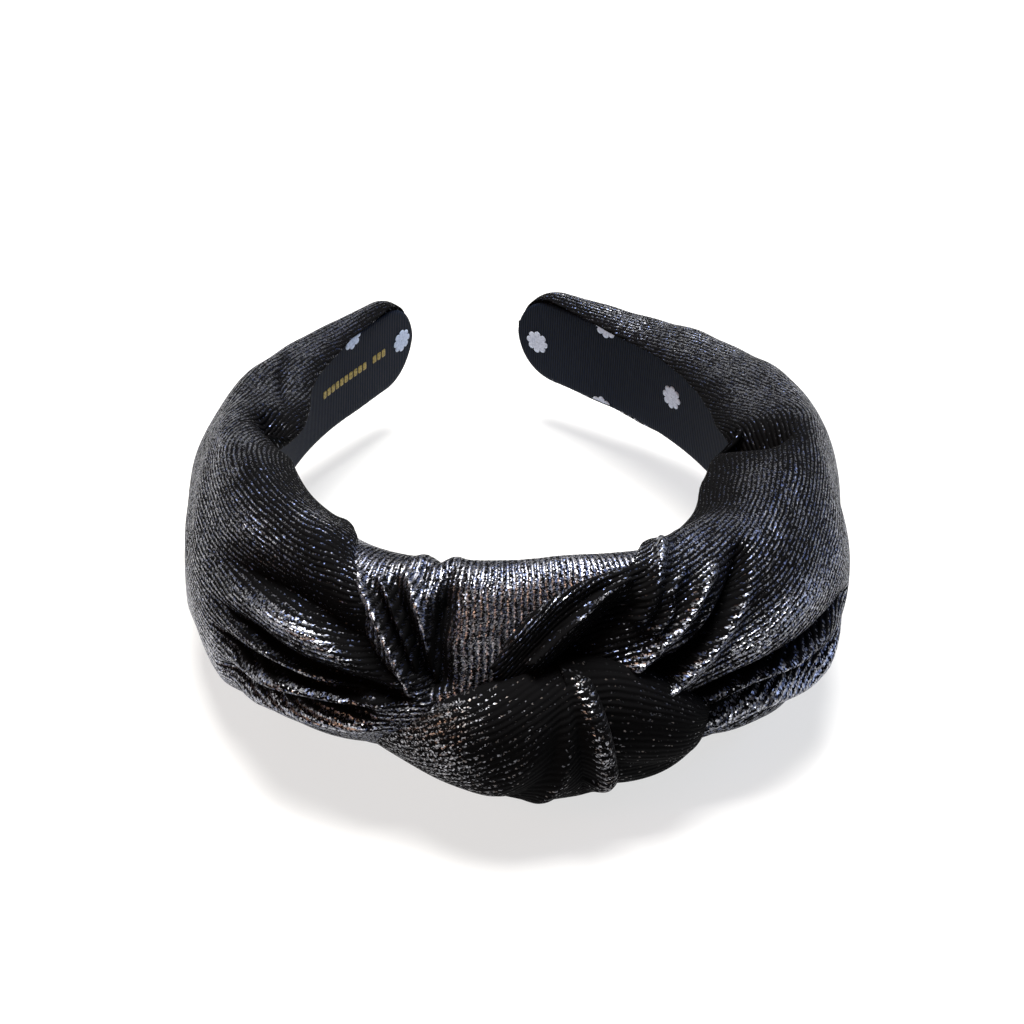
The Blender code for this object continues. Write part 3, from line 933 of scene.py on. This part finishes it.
RIGHT_FOLDS = (
    ridge(3.0, 1.2, 1.4, (23, 0.21), (21.6, 0.235), (18, 0.285), (15.6, 0.33), (12.6, 0.383)),
    ridge(2.4, 0.9, 0.9, (25.8, 0.27), (19.2, 0.325), (18, 0.362), (15, 0.4)),
    ridge(
        3.6, 0.9, 0.9, (11.4, 0.312), (6, 0.355), (1.2, 0.4), (-3, 0.435), (-6.6, 0.463), start=0.6,
    ),
    valley(5.0, 2.6, 3.4, (12, 0.335), (10.2, 0.352), (6, 0.408), (2.4, 0.45), (0, 0.485)),
    ridge(
        3.4, 1.2, 1.3, (30.6, 0.28), (28.2, 0.305), (24.6, 0.333), (19.2, 0.39), (15, 0.43),
        (10.8, 0.478),
    ),
    valley(
        6.4, 2.0, 2.4, (37.2, 0.27), (35.4, 0.297), (31.2, 0.348), (25.8, 0.398), (20.4, 0.44),
        (15.6, 0.48),
    ),
    ridge(1.6, 1.0, 1.0, (28.8, 0.333), (23.4, 0.39), (18, 0.435)),
    ridge(
        3.8, 1.2, 1.6, (36, 0.323), (31.8, 0.365), (25.8, 0.42), (21, 0.463), (14.4, 0.522),
        start=0.4,
    ),
    valley(
        5.6, 1.8, 2.2, (64, 0.52), (57.6, 0.506), (45.6, 0.482), (37.8, 0.478), (30, 0.492),
        (22.8, 0.522), (17.4, 0.558),
    ),
    ridge(2.0, 1.1, 1.1, (53.4, 0.522), (41.4, 0.5), (32.4, 0.503), (24.6, 0.53), (18.6, 0.562)),
    valley(3.4, 1.2, 1.3, (56, 0.54), (44, 0.53), (34, 0.524), (25.5, 0.547), (18.6, 0.58)),
    ridge(
        2.8, 1.9, 2.4, (60, 0.55), (53.4, 0.55), (45, 0.565), (34.8, 0.552), (26.4, 0.573),
        (18.6, 0.605),
    ),
    valley(2.8, 2.6, 2.6, (66, 0.68), (52, 0.64), (40, 0.62), (26, 0.64)),
    valley(2.6, 2.4, 3.0, (72, 0.78), (58, 0.74), (44, 0.71), (28, 0.7)),
    valley(
        8.0, 5.4, 5.4, (79.5, 0.3), (80.4, 0.26), (80.7, 0.22), (83.4, 0.18), (87, 0.14), start=0.1,
    ),
    valley(2.0, 3.0, 4.0, (112, 0.72), (98, 0.8), (88, 0.9), start=0.0),
    painted_shade(0.95, 8.0, 8.0, (14, 0.33), (7, 0.385), (0, 0.425), (-7, 0.46)),
    painted_shade(0.22, 10.0, 10.0, (35, 0.29), (27, 0.36), (19, 0.43), (14, 0.48)),
    painted_shade(0.75, 6.0, 6.0, (80, 0.27), (80.7, 0.225), (83.4, 0.18), (87, 0.14)),
    ridge(1.8, 5.0, 3.6, (52, 0.44), (44, 0.415), (36, 0.435), (28, 0.468), start=0.3, end=0.3),
    painted_shade(0.22, 16.0, 16.0, (66, 0.29), (56, 0.35), (46, 0.39)),
    ridge(1.8, 3.5, 5.0, (46, 0.2), (34, 0.2), (26, 0.215), start=0.1, end=0.6),
)
# Where each sleeve's front edge runs, from the upper hem to the lower, as (s, share).
EDGES: dict[Side, Path] = {
    Side.LEFT: (
        (0, 0), (61, 0.08), (58, 0.1), (52, 0.15), (47, 0.19), (44.4, 0.233), (43.2, 0.258),
        (39.6, 0.29), (36, 0.34), (33, 0.39), (29.4, 0.443), (26.4, 0.485), (25.2, 0.51),
        (20, 0.56), (6, 0.62), (4, 0.8), (0, 0.92), (0, 1),
    ),
    Side.RIGHT: (
        (0, 0), (27, 0.08), (25, 0.12), (20, 0.19), (16.8, 0.235), (14.4, 0.275), (6.6, 0.31),
        (0, 0.343), (-5.4, 0.37), (-9.6, 0.405), (-12.6, 0.45), (-10, 0.52), (2, 0.61), (3, 0.67),
        (3, 0.8), (0, 0.92), (0, 1),
    ),
}


def edge_at(side: Side, share: Array) -> Array:
    """s of a sleeve's front edge at shares of the way round, straight between its points."""
    return np.interp(share, [v for _, v in EDGES[side]], [s for s, _ in EDGES[side]])


@dataclass
class SleeveCover:
    """One arm's padded sleeve with its gathers, from under the knot to its closed tip."""

    side: Side
    folds: tuple[Fold, ...]
    seed: int
    rib_turn: float
    rows: int = 330
    hidden_rows: int = 16
    columns: int = 250
    tip_rows: float = 0.06
    even_rows: float = 0.72
    hem: float = 0.1
    fullness: float = 0.5
    dive: float = 7.0
    dive_width: float = 4.0
    shoulder: float = 0.8
    tuck: float = 1.8
    turn_from: float = 36.0
    turn_over: float = 14.0

    def rows_s(self, start: Array) -> Array:
        """s of each row: hidden rows from one common s to the start, then rows that are closer
        together in front, and last the rows of the rounded tip, as a sine.

        Args:
            start: (1, columns) of s where the sleeve comes out of hiding.

        Returns:
            (rows, columns) of s.
        """
        u = np.linspace(0.0, 1.0, self.rows)[:, None]
        body = 1.0 - self.tip_rows
        spread, whole = (self.even_rows * x + (1 - self.even_rows) * x**2 for x in (u, body))
        turn = np.clip((u - body) / self.tip_rows, 0.0, 1.0)
        s = start + (LINE.tip_start - start) * np.minimum(spread / whole, 1.0)
        s = s + LINE.width / 2 * np.sin(turn * math.pi / 2)
        lead = np.linspace(0.0, 1.0, self.hidden_rows, endpoint=False)[:, None]
        return np.concatenate([start.min() + (start - start.min()) * lead, s])

    def surface(self) -> tuple[Array, Array, Array]:
        """The sleeve's surface: the base, raised by its folds and its fullness, with a low
        shoulder along its front edge. Points short of that edge dive under the panel or knot,
        and the hems and the tip stay plain.

        Returns:
            Places, fabric coordinates and painted light and shade, each by rows and columns.
        """
        cover = COVERS[self.side]
        share = np.linspace(0.0, 1.0, self.columns)[None, :]
        edge = edge_at(self.side, share)
        s = self.rows_s(edge - self.dive_width - 1.0)
        share = np.broadcast_to(share, s.shape)
        way = cover.read(s, share)[..., 2]
        lift, painted_light = folded(self.folds, s, share)
        # Painted shade on the inner flank, from the upper hem to a quarter of the way round.
        painted_light = painted_light - 0.6 * smooth((0.25 - share) / 0.1)
        hems = smooth(share / self.hem) * smooth((1 - share) / self.hem)
        lift = lift + softness(s, way, self.seed, self.fullness)
        lift = lift * hems * smooth((LINE.half_length - 8 - s) / 30)
        gone = smooth((edge - s) / self.dive_width)
        shoulder = np.exp(-(((s - edge - 2.0) / 3.0) ** 2)) * smooth((0.5 - share) / 0.15)
        lift = lift + shoulder * self.shoulder * hems - self.dive * gone * hems
        at = s + self.tuck * np.clip((s - LINE.tip_start) / (LINE.width / 2), 0.0, 1.0)
        places = cover.place(at, share, lift, self.side.value * at, 0.0)
        turned = np.log1p(np.exp((self.turn_from - s) / self.turn_over))
        turned = self.rib_turn * self.turn_over * turned
        return places, np.stack([s * self.side.value, way - turned], axis=-1), painted_light

    def build(self, material: bpy.types.Material) -> bpy.types.Object:
        """Makes the piece, which stands for all the soft layers of its arm.

        Args:
            material: the velvet.

        Returns:
            The sleeve, not yet tied to a body.
        """
        places, uv, painted_light = self.surface()
        word = self.side.word
        flip = self.side is Side.LEFT
        piece = tube(f"{word}_sleeve_cover", places, uv, material, flip=flip, painted_light=painted_light)
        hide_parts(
            f"sleeve_{word}", f"gather_{word}", f"wadding_{word}_arm", f"foam_{word}_arm"
        )
        return piece


@dataclass
class CrownPanel:
    """The smooth panel over the top of the crown, gathered at its left under the knot."""

    left: float = -66.0
    right: float = 36.0
    last: float = 0.58
    rows: int = 280
    columns: int = 130
    thickness: float = 1.0
    hem: float = 0.1
    fullness: float = 0.25
    sink: float = 1.2
    hide: float = 8.0
    hide_over: float = 6.0
    folds: tuple[Fold, ...] = (
        # Two stretches of painted shade, then folds whose ridges are painted lighter and valleys
        # darker.
        painted_shade(0.55, 5.0, 5.0, (35, 0.31), (31, 0.37), (27.5, 0.43), (25, 0.48)),
        painted_shade(0.30, 4.0, 6.0, (40, 0.2), (0, 0.2), (-36, 0.2)),
        ridge(
            2.8, 0.8, 1.0, (40.2, 0.278), (38.4, 0.307), (35.4, 0.343), (32.4, 0.39), (29.4, 0.44),
            (26.4, 0.497), start=0.4,
        ),
        valley(
            2.4, 0.9, 0.9, (37.8, 0.28), (33.6, 0.335), (30.6, 0.39), (27.6, 0.445), (25.2, 0.497),
        ),
        ridge(
            2.4, 0.7, 0.7, (36, 0.283), (33, 0.325), (29.4, 0.39), (26.4, 0.46), (24.6, 0.497),
            start=0.3,
        ),
        valley(
            4.4, 1.6, 1.5, (33.6, 0.265), (31.2, 0.323), (28.8, 0.375), (26.4, 0.427), (24, 0.49),
            start=0.2,
        ),
        ridge(
            2.8, 0.9, 1.1, (31.2, 0.27), (28.2, 0.328), (25.8, 0.38), (24.6, 0.43), (22.8, 0.487),
            start=0.3,
        ),
        valley(
            5.0, 1.9, 2.2, (22.8, 0.27), (22.8, 0.328), (23.4, 0.378), (23.4, 0.422), (22.2, 0.487),
            start=0.3,
        ),
        valley(1.6, 1.2, 1.2, (27.6, 0.24), (27.6, 0.265), (27, 0.305), end=0.0),
        ridge(0.6, 1.6, 1.6, (30, 0.16), (30, 0.2), (30, 0.245), start=0.6, end=0.2),
        ridge(0.6, 1.8, 1.8, (22.6, 0.16), (22.6, 0.2), (22.8, 0.245), start=0.6, end=0.2),
        valley(1.2, 1.4, 1.4, (26, 0.14), (26, 0.18), (26, 0.24), start=0.6, end=0.6),
    )

    def build(self, material: bpy.types.Material) -> bpy.types.Object:
        """A slab over the cover's base. Its fabric coordinates are turned, so its ribs run
        across the band, and its sides go deep under the sleeves past their front edges.

        Args:
            material: the velvet.

        Returns:
            The panel, which rides on the crown.
        """
        s, share = np.meshgrid(
            np.linspace(self.left, self.right, self.rows),
            np.linspace(0.0, self.last, self.columns),
            indexing="ij",
        )
        base = COVERS[Side.LEFT].read(np.abs(s), share)
        lift, painted_light = folded(self.folds, -s, share)
        hems = smooth(share / self.hem)
        lift = (lift + softness(s, base[..., 2], 5, self.fullness)) * hems - self.sink
        for side in Side:
            past = side.value * s - edge_at(side, share) - 1.0
            lift = lift - self.hide * smooth(past / self.hide_over) * hems
        face, back = (LINE.bend(s, *Cover.raised(base, x)) for x in (lift, lift - self.thickness))
        uv = np.stack([base[..., 2], s], axis=-1)
        piece = slab("crown_panel_cover", face, back, uv, material, flip=False, painted_light=painted_light)
        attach(piece, "crown")
        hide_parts("crown_panel", "wadding_crown", "foam_crown")
        return piece


# ---- The knot --------------------------------------------------------------------------------


@dataclass
class Knot:
    """The turban knot on the front of the crown: a broad wrap rising from its left corner, and a
    lobe tucked in behind its right edge. Left, right and split are s in mm, top, bottom and
    corner are shares of the way round, and the folds are laid on the wrap's own span and drop."""

    left: float = 35.0
    right: float = 24.5
    top: float = 0.487
    bottom: float = 0.88
    corner: float = 0.625
    split: Pair = (3.0, 11.5)
    height: float = 13.6
    lobe_height: float = 9.4
    seat: float = 0.8
    span: float = 45.0
    drop: float = 50.0
    folds: tuple[Fold, ...] = (
        ridge(
            2.4, 2.6, 1.5, (41.6, 0.04), (42, 0.28), (42.2, 0.48), (42, 0.66), start=1.0, end=0.0,
        ),
        valley(
            1.8, 1.3, 1.3, (39.4, 0.06), (39, 0.28), (38.8, 0.46), (38.6, 0.64), start=0.6, end=0.0,
        ),
        ridge(1.3, 1.2, 1.4, (39, 0.1), (37, 0.3), (32.5, 0.55), (26, 0.84), start=0.8, end=0.3),
        valley(1.8, 2.2, 2.2, (37, 0.16), (34, 0.34), (29, 0.54), (23, 0.76), start=0.5, end=0.2),
        ridge(0.8, 2.0, 2.0, (33, 0.22), (27, 0.4), (21, 0.58), start=0.3, end=0.3),
    )
    rows: int = 170
    columns: int = 150

    @staticmethod
    def dome(t: Array, power: float) -> Array:
        """0 at both ends of 0..1 and 1 in the middle; a smaller power has fuller shoulders."""
        return np.clip(1.0 - (2.0 * t - 1.0) ** 2, 0.0, 1.0) ** power

    def shell(self, s: Array, share: Array, lift: Array) -> tuple[Array, Array]:
        """Two surfaces over the crown's cover, on both sides of its middle.

        Args:
            s: distances along the core, negative on the left.
            share: shares of the way round.
            lift: millimetres outwards of the face.

        Returns:
            The face, and the back, which is below the cover wherever the face is well above it.
        """
        place = COVERS[Side.LEFT].place
        back = np.minimum(lift - 0.8, self.seat - 2.4)
        return place(np.abs(s), share, lift, s, 0.4), place(np.abs(s), share, back, s, 0.8)

    def wrap(self) -> tuple[Array, Array, Array, Array]:
        """A dome with a rolled right edge and a few folds that meet there: u runs from its left
        corner to the split, and v from its top to its bottom.

        Returns:
            Its face, back, fabric coordinates and painted light and shade.
        """
        u, v = np.meshgrid(
            np.linspace(0.0, 1.0, self.rows), np.linspace(0.0, 1.0, self.columns), indexing="ij"
        )
        split = self.split[0] + (self.split[1] - self.split[0]) * v
        s = -self.left + u * (split + self.left)
        top = self.corner + (self.top - self.corner) * (1.0 - (1.0 - u) ** 3.2)
        bottom = self.corner + 0.07 + (self.bottom - self.corner - 0.07) * u**1.1
        bottom = bottom - 0.09 * smooth((u - 0.82) / 0.18)
        share = top + (bottom - top) * v
        rise = np.sin(np.minimum(u / 0.75, 1.0) * math.pi / 2) ** 1.15
        rise = rise * (1.0 - 0.12 * smooth((u - 0.7) / 0.3))
        roll = np.sqrt(np.clip(1 - np.clip((u - 0.965) / 0.035, 0, 1) ** 2, 0, 1))
        folds, painted_light = np.zeros_like(u), np.zeros_like(u)
        for fold in self.folds:
            weight = fold.weight(self.span * u, v, self.drop)
            folds = folds + weight * fold.height * smooth((1.0 - v) / 0.55)
            painted_light = painted_light + weight * (fold.painted_light * fold.height + fold.painted_shade)
        dome = self.dome(v, 0.6)
        lift = self.seat - 2.2 + (self.height + 2.2) * rise * dome * roll + folds * dome
        lift = lift + softness(s, v * self.drop, 9, 0.3) * dome
        face, back = self.shell(s, share, lift)
        way = share * WAY
        fabric = np.stack([0.90 * s - 0.44 * way, 0.44 * s + 0.90 * way], axis=-1)
        # Painted shade over the wrap's right part, towards the split, and painted light along its
        # lower edge there.
        painted_light = painted_light + 0.56 - 0.42 * smooth((u - 0.35) / 0.3)
        painted_light = painted_light + 0.4 * smooth((v - 0.82) / 0.15) * smooth((u - 0.3) / 0.3)
        return face, back, fabric, painted_light

    def lobe(self) -> tuple[Array, Array, Array, Array]:
        """A lower dome with two creases: u runs from the split, a little under the wrap, to its
        round right end, and v from its top to its bottom.

        Returns:
            Its face, back, fabric coordinates and painted light and shade.
        """
        u, v = np.meshgrid(
            np.linspace(-0.25, 1.0, 110), np.linspace(0.0, 1.0, 120), indexing="ij"
        )
        split = self.split[0] + (self.split[1] - self.split[0]) * v
        s = split + u * (self.right - split)
        close = 1.0 - np.clip(u, 0, 1) ** 2.2
        top = self.corner + (self.top - 0.01 - self.corner) * (0.3 + 0.7 * close)
        bottom = self.corner + (self.bottom - self.corner) * (0.3 + 0.7 * close)
        share = top + (bottom - top) * v
        dome = self.dome(v, 0.55)
        end = np.sqrt(np.clip(1.0 - np.clip(u, 0, 1) ** 2, 0, 1))
        lift = self.seat - 2.0 + (self.lobe_height + 2.0) * end * dome
        crease = np.exp(-(((v - 0.42 - 0.1 * u) / 0.06) ** 2))
        crease = crease + 0.8 * np.exp(-(((v - 0.72) / 0.05) ** 2))
        lift = lift - 1.2 * crease * dome * smooth((0.9 - u) / 0.4)
        lift = lift + softness(s, v * self.drop, 12, 0.4) * dome * end
        face, back = self.shell(s, share, lift)
        fabric = np.stack([s + 200, (v - 0.5) * 46], axis=-1)
        # Painted shade over most of the lobe, with painted light towards its lower right end and
        # along its bottom.
        painted_light = 0.12 + 0.42 * smooth((u - 0.45) / 0.4) * smooth((v - 0.3) / 0.3)
        painted_light = painted_light + 0.3 * smooth((v - 0.75) / 0.2)
        return face, back, fabric, painted_light

    def build(self, material: bpy.types.Material) -> list[bpy.types.Object]:
        """Makes both pieces, which ride on the crown.

        Args:
            material: the velvet.

        Returns:
            The wrap and the lobe.
        """
        *shape, painted_light = self.wrap()
        wrap = slab("knot_wrap_cover", *shape, material, flip=False, painted_light=painted_light)
        *shape, painted_light = self.lobe()
        lobe = slab("knot_lobe_cover", *shape, material, flip=False, painted_light=painted_light)
        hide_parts("knot_wrap", "knot_wadding")
        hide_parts("knot_lobe")
        for piece in (wrap, lobe):
            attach(piece, "crown")
        return [wrap, lobe]


# ---- The lining ------------------------------------------------------------------------------


@dataclass
class Lining:
    """The ribbon glued along the inside, parted at the middle of the crown."""

    side: Side
    florets: Path
    dashes: Path
    width: float = 24.4
    face: float = -3.35
    back: float = -2.75
    floret_size: float = 3.6
    dash_half: Pair = (0.78, 1.15)
    proud: float = 0.05

    def tip(self, s: Array) -> Array:
        """The share of the width left at distances s, round at the tip."""
        past = np.clip((s - LINE.tip_start) / (self.width / 2), 0.0, 1.0)
        return np.sqrt(1.0 - past**2)

    def ribbon(self, material: bpy.types.Material) -> bpy.types.Object:
        """A slab whose long edges ease back by a quarter of a millimetre, as a glued ribbon's do.

        Args:
            material: the grosgrain.

        Returns:
            The ribbon.
        """
        body = LINE.tip_start
        turn = np.linspace(0.0, math.radians(87), 22)[1:]
        rows = np.concatenate([np.linspace(0.0, body, 150), body + self.width / 2 * np.sin(turn)])
        across = np.linspace(-1.0, 1.0, 26)
        s, t = np.meshgrid(rows, across, indexing="ij")
        z = t * self.width / 2 * self.tip(s) + LINE.height
        ease = 0.25 * np.abs(t) ** 12
        face = LINE.bend(self.side.value * s, self.face + ease, z)
        back = LINE.bend(self.side.value * s, self.back + 0 * s, z)
        uv = np.stack([s * self.side.value, z], axis=-1)
        name = f"{self.side.word}_lining_ribbon"
        return slab(name, face, back, uv, material, flip=self.side is Side.RIGHT)

    def patches(
        self, name: str, centres: Array, outline: Array, material: bpy.types.Material
    ) -> bpy.types.Object:
        """Flat printed patches, each a ring grid from its centre to its outline, a twentieth of
        a millimetre proud of the ribbon.

        Args:
            name: the piece's name.
            centres: (patches, 2) of s and height from the core's middle.
            outline: (points, 2) round the patch, in mm.
            material: the finish.

        Returns:
            The object.
        """
        scales = np.array([0.04, 0.4, 0.75, 1.0])
        local = scales[:, None, None] * outline[None]
        points = centres[:, None, None, :] + local[None]
        count, rings, around = points.shape[:3]
        most = self.width / 2 - 0.3
        s, z = points[..., 0], np.clip(points[..., 1], -most, most) + LINE.height
        top = LINE.bend(self.side.value * s, np.full_like(s, self.face - self.proud), z)
        low = LINE.bend(self.side.value * s, np.full_like(s, self.face + 0.2), z)
        places = np.concatenate([top.reshape(-1, 3), low[:, -1].reshape(-1, 3)])
        numbers = np.arange(count * rings * around).reshape(count, rings, around)
        skirt = count * rings * around + np.arange(count * around).reshape(count, 1, around)
        stack = np.concatenate([numbers, skirt], axis=1)
        ring = np.concatenate([stack, stack[..., :1]], axis=2)
        faces = np.concatenate([grid_faces(g) for g in ring])
        if self.side is Side.LEFT:
            faces = faces[:, ::-1]
        uv = np.zeros((len(places), 2))
        return make_piece(name, places, faces, uv, material)

    def build(
        self, ribbon: bpy.types.Material, ink: bpy.types.Material, foil: bpy.types.Material
    ) -> list[bpy.types.Object]:
        """Makes the ribbon with its printed florets, whose outline is eight petals round a circle,
        and its dashes, whose outline is a bar with round corners.

        Args:
            ribbon: the grosgrain.
            ink: the florets' print.
            foil: the dashes' print.

        Returns:
            The ribbon, then what is printed on it.
        """
        strip = self.ribbon(ribbon)
        arm = self.side.word
        angle = np.linspace(0, 2 * math.pi, 96, endpoint=False)
        circle = np.stack([np.cos(angle), np.sin(angle)], axis=-1)
        radius = self.floret_size * (0.74 + 0.30 * np.sqrt(np.abs(np.cos(4.0 * angle))))
        petals = np.stack([radius * circle[:, 0], 0.9 * radius * circle[:, 1]], axis=-1)
        printed = [self.patches(f"{arm}_florets", np.array(self.florets), petals, ink)]
        if self.dashes:
            bar = np.array(self.dash_half) * np.sign(circle) * np.abs(circle) ** 0.4
            printed.append(self.patches(f"{arm}_gold_dashes", np.array(self.dashes), bar, foil))
        if self.side is Side.LEFT:
            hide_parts("lining_crown", "tape_crown")
        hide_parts(f"lining_{arm}_arm", f"tape_{arm}_arm")
        flat = (self.width * MILLIMETRE, LINE.half_length * MILLIMETRE)
        return [strip, *printed]


# ---- The whole -------------------------------------------------------------------------------


@dataclass
class Headband:
    """All of the headband's visible pieces. Two lines at the arm's x, given by their y in metres,
    mark where fabric that crosses a hinge would bend; no piece is bent between them."""

    bend_x: float = 0.040
    bend_y: Pair = (-0.0575, -0.020)
    bend_z: float = 0.03

    def tie(self, piece: bpy.types.Object, side: Side) -> None:
        """Bakes a piece's transform into its mesh; the bend lines at its arm are worked out but not
        used, so the piece follows neither the crown nor its arm.

        Args:
            piece: the piece.
            side: its arm's side.
        """
        start, end = ((self.bend_x * side.value, y, self.bend_z) for y in self.bend_y)
        side.body
        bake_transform(piece)
        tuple(start)
        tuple(end)

    def build(self) -> list[bpy.types.Object]:
        """Builds every piece in order, and dresses the plastic core.

        Returns:
            The new pieces.
        """
        velvet = GlitterVelvet("black_rib_velvet_glitter").material()
        # Lit and shaded copies of the velvet: the panel's has more and brighter foil points, a
        # painted highlight on the crown's top, and the knot's has fewer, painted shade on its
        # front.
        panel = GlitterVelvet("black_rib_velvet_panel_painted_lighter", sparks=0.74, spark_high="DCDCE4").material()
        knot = GlitterVelvet(
            "black_rib_velvet_knot_painted_darker", cool="6A625C", sparks=0.52, crest=0.35, rib_depth=0.1
        ).material()
        ribbon = Grosgrain("navy_grosgrain_ribbon").material()
        ink = Print("pale_printed_ink", "B9C4D8", "94A2BC", 0.0, 0.6).material()
        foil = Print("gold_foil_print", "8B7A3C", "5A4E22", 0.7, 0.45).material()
        core = MouldedAbs().material()
        pieces: list[bpy.types.Object] = []
        folds = {Side.LEFT: LEFT_FOLDS, Side.RIGHT: RIGHT_FOLDS}
        for side in Side:
            turn = 0.9 if side is Side.RIGHT else 0.15
            sleeve = SleeveCover(side, folds[side], seed=21 + side.value, rib_turn=turn)
            piece = sleeve.build(velvet)
            self.tie(piece, side)
            pieces.append(piece)
        pieces.append(CrownPanel().build(panel))
        pieces += Knot().build(knot)
        florets = {
            Side.LEFT: (
                (6, 6.5), (25, -6.5), (44, 6.5), (63, -6.5), (82, 6.5), (101, -6.5), (120, 6.5),
                (139, 6.5), (174.5, 12), (197.4, 0.5),
            ),
            Side.RIGHT: (
                (12, -6.5), (31, 6.5), (50, -6.5), (69, 6.5), (88, -6.5), (100, 6.5), (116.5, -6),
                (145.5, 1.5), (172, -13.6), (172, 12.4), (195.6, -1.5),
            ),
        }
        along = (*(161.0 + 2.1 * k for k in range(10)), 184.5, 186.6, 188.7)
        dashes = {Side.LEFT: tuple((s, 0.6) for s in along), Side.RIGHT: ()}
        for side in Side:
            lining = Lining(side, florets[side], dashes[side])
            for piece in lining.build(ribbon, ink, foil):
                self.tie(piece, side)
                pieces.append(piece)
        for name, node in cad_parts.items():
            if name.startswith("core_"):
                for slot in node.material_slots:
                    slot.material = core
        return pieces


@dataclass
class Studio:
    """A plain white floor, soft light from above, and the camera."""

    target: Place = (0.0, 0.010609, 0.025)
    azimuth: float = -9.98
    elevation: float = 34.46
    distance: float = 0.52178
    roll: float = 2.04
    lens: float = 71.54
    shift: Pair = (0.00524, -0.01669)
    lights: tuple[tuple[str, Place, float, float, str], ...] = (
        ("overhead", (0.0, 0.20, 1.0), 0.5, 35.0, "FFFDF8"),
        ("window_right", (0.9, 0.2, 0.50), 0.5, 3.0, "BCD0FF"),
        ("lamp_left", (-0.7, -0.4, 0.50), 0.4, 2.0, "FFC090"),
    )

    def floor(self) -> None:
        """A broad sheet of opal acrylic lit from below, as on a light table, far past the view:
        an even white that keeps only a faint shadow."""
        half = 8.0
        mesh = bpy.data.meshes.new("floor")
        corners = [(-half, -half, 0), (half, -half, 0), (half, half, 0), (-half, half, 0)]
        mesh.from_pydata(corners, [], [(0, 1, 2, 3)])
        opal = {
            "Base Color": linear("8E8E8E"),
            "Emission Color": linear("FFFFFF"),
            "Emission Strength": 0.68,
            "Roughness": 0.9,
            "Specular IOR Level": 0.1,
        }
        mesh.materials.append(Nodes("opal_light_table").dress(opal))
        obj = bpy.data.objects.new("floor", mesh)
        bpy.context.scene.collection.objects.link(obj)

    def light(self) -> None:
        """Square area lights turned to the headband, and a dim even world."""
        for name, place, size, power, colour in self.lights:
            data = bpy.data.lights.new(name, "AREA")
            data.size, data.energy, data.color = size, power, linear(colour)[:3]
            obj = bpy.data.objects.new(name, data)
            obj.location = place
            obj.rotation_euler = self.turn(np.array(place) - np.array(self.target), 0.0)
            bpy.context.scene.collection.objects.link(obj)
        world = bpy.data.worlds.new("dim_studio")
        world.use_nodes = True
        sky = world.node_tree.nodes["Background"].inputs
        sky["Color"].default_value = linear("B8BCC4")
        sky["Strength"].default_value = 0.15
        bpy.context.scene.world = world

    @staticmethod
    def turn(back: Array, roll: float) -> Place:
        """The turn of an object whose +Z points along back and whose +X is level, then rolled.

        Args:
            back: the direction it looks away from.
            roll: radians about back.

        Returns:
            Euler angles.
        """
        back = back / np.linalg.norm(back)
        right = np.cross((0.0, 0.0, 1.0), back)
        right = right / np.linalg.norm(right)
        up = np.cross(back, right)
        c, s = math.cos(roll), math.sin(roll)
        matrix = np.array([right * c + up * s, up * c - right * s, back]).T
        return tuple(Matrix(matrix.tolist()).to_euler())

    def camera(self) -> None:
        """The camera, looking down at the knot."""
        a, e = math.radians(self.azimuth), math.radians(self.elevation)
        back = np.array([math.sin(a) * math.cos(e), -math.cos(a) * math.cos(e), math.sin(e)])
        data = bpy.data.cameras.new("view")
        data.lens, data.sensor_width = self.lens, 36.0
        data.shift_x, data.shift_y = self.shift
        data.clip_start = 0.01
        obj = bpy.data.objects.new("view", data)
        obj.location = tuple(np.array(self.target) + self.distance * back)
        obj.rotation_euler = self.turn(back, math.radians(self.roll))
        bpy.context.scene.collection.objects.link(obj)
        bpy.context.scene.camera = obj

    def build(self) -> None:
        """Builds the studio."""
        self.floor()
        self.light()
        self.camera()
        bpy.context.scene.view_settings.view_transform = "Standard"


def main() -> None:
    """Builds the studio and the headband."""
    logging.basicConfig(level=logging.INFO, format="%(message)s")
    Studio().build()
    for piece in Headband().build():
        LOG.info("%s: %d faces", piece.name, len(piece.data.polygons))


if __name__ == "__main__":
    main()
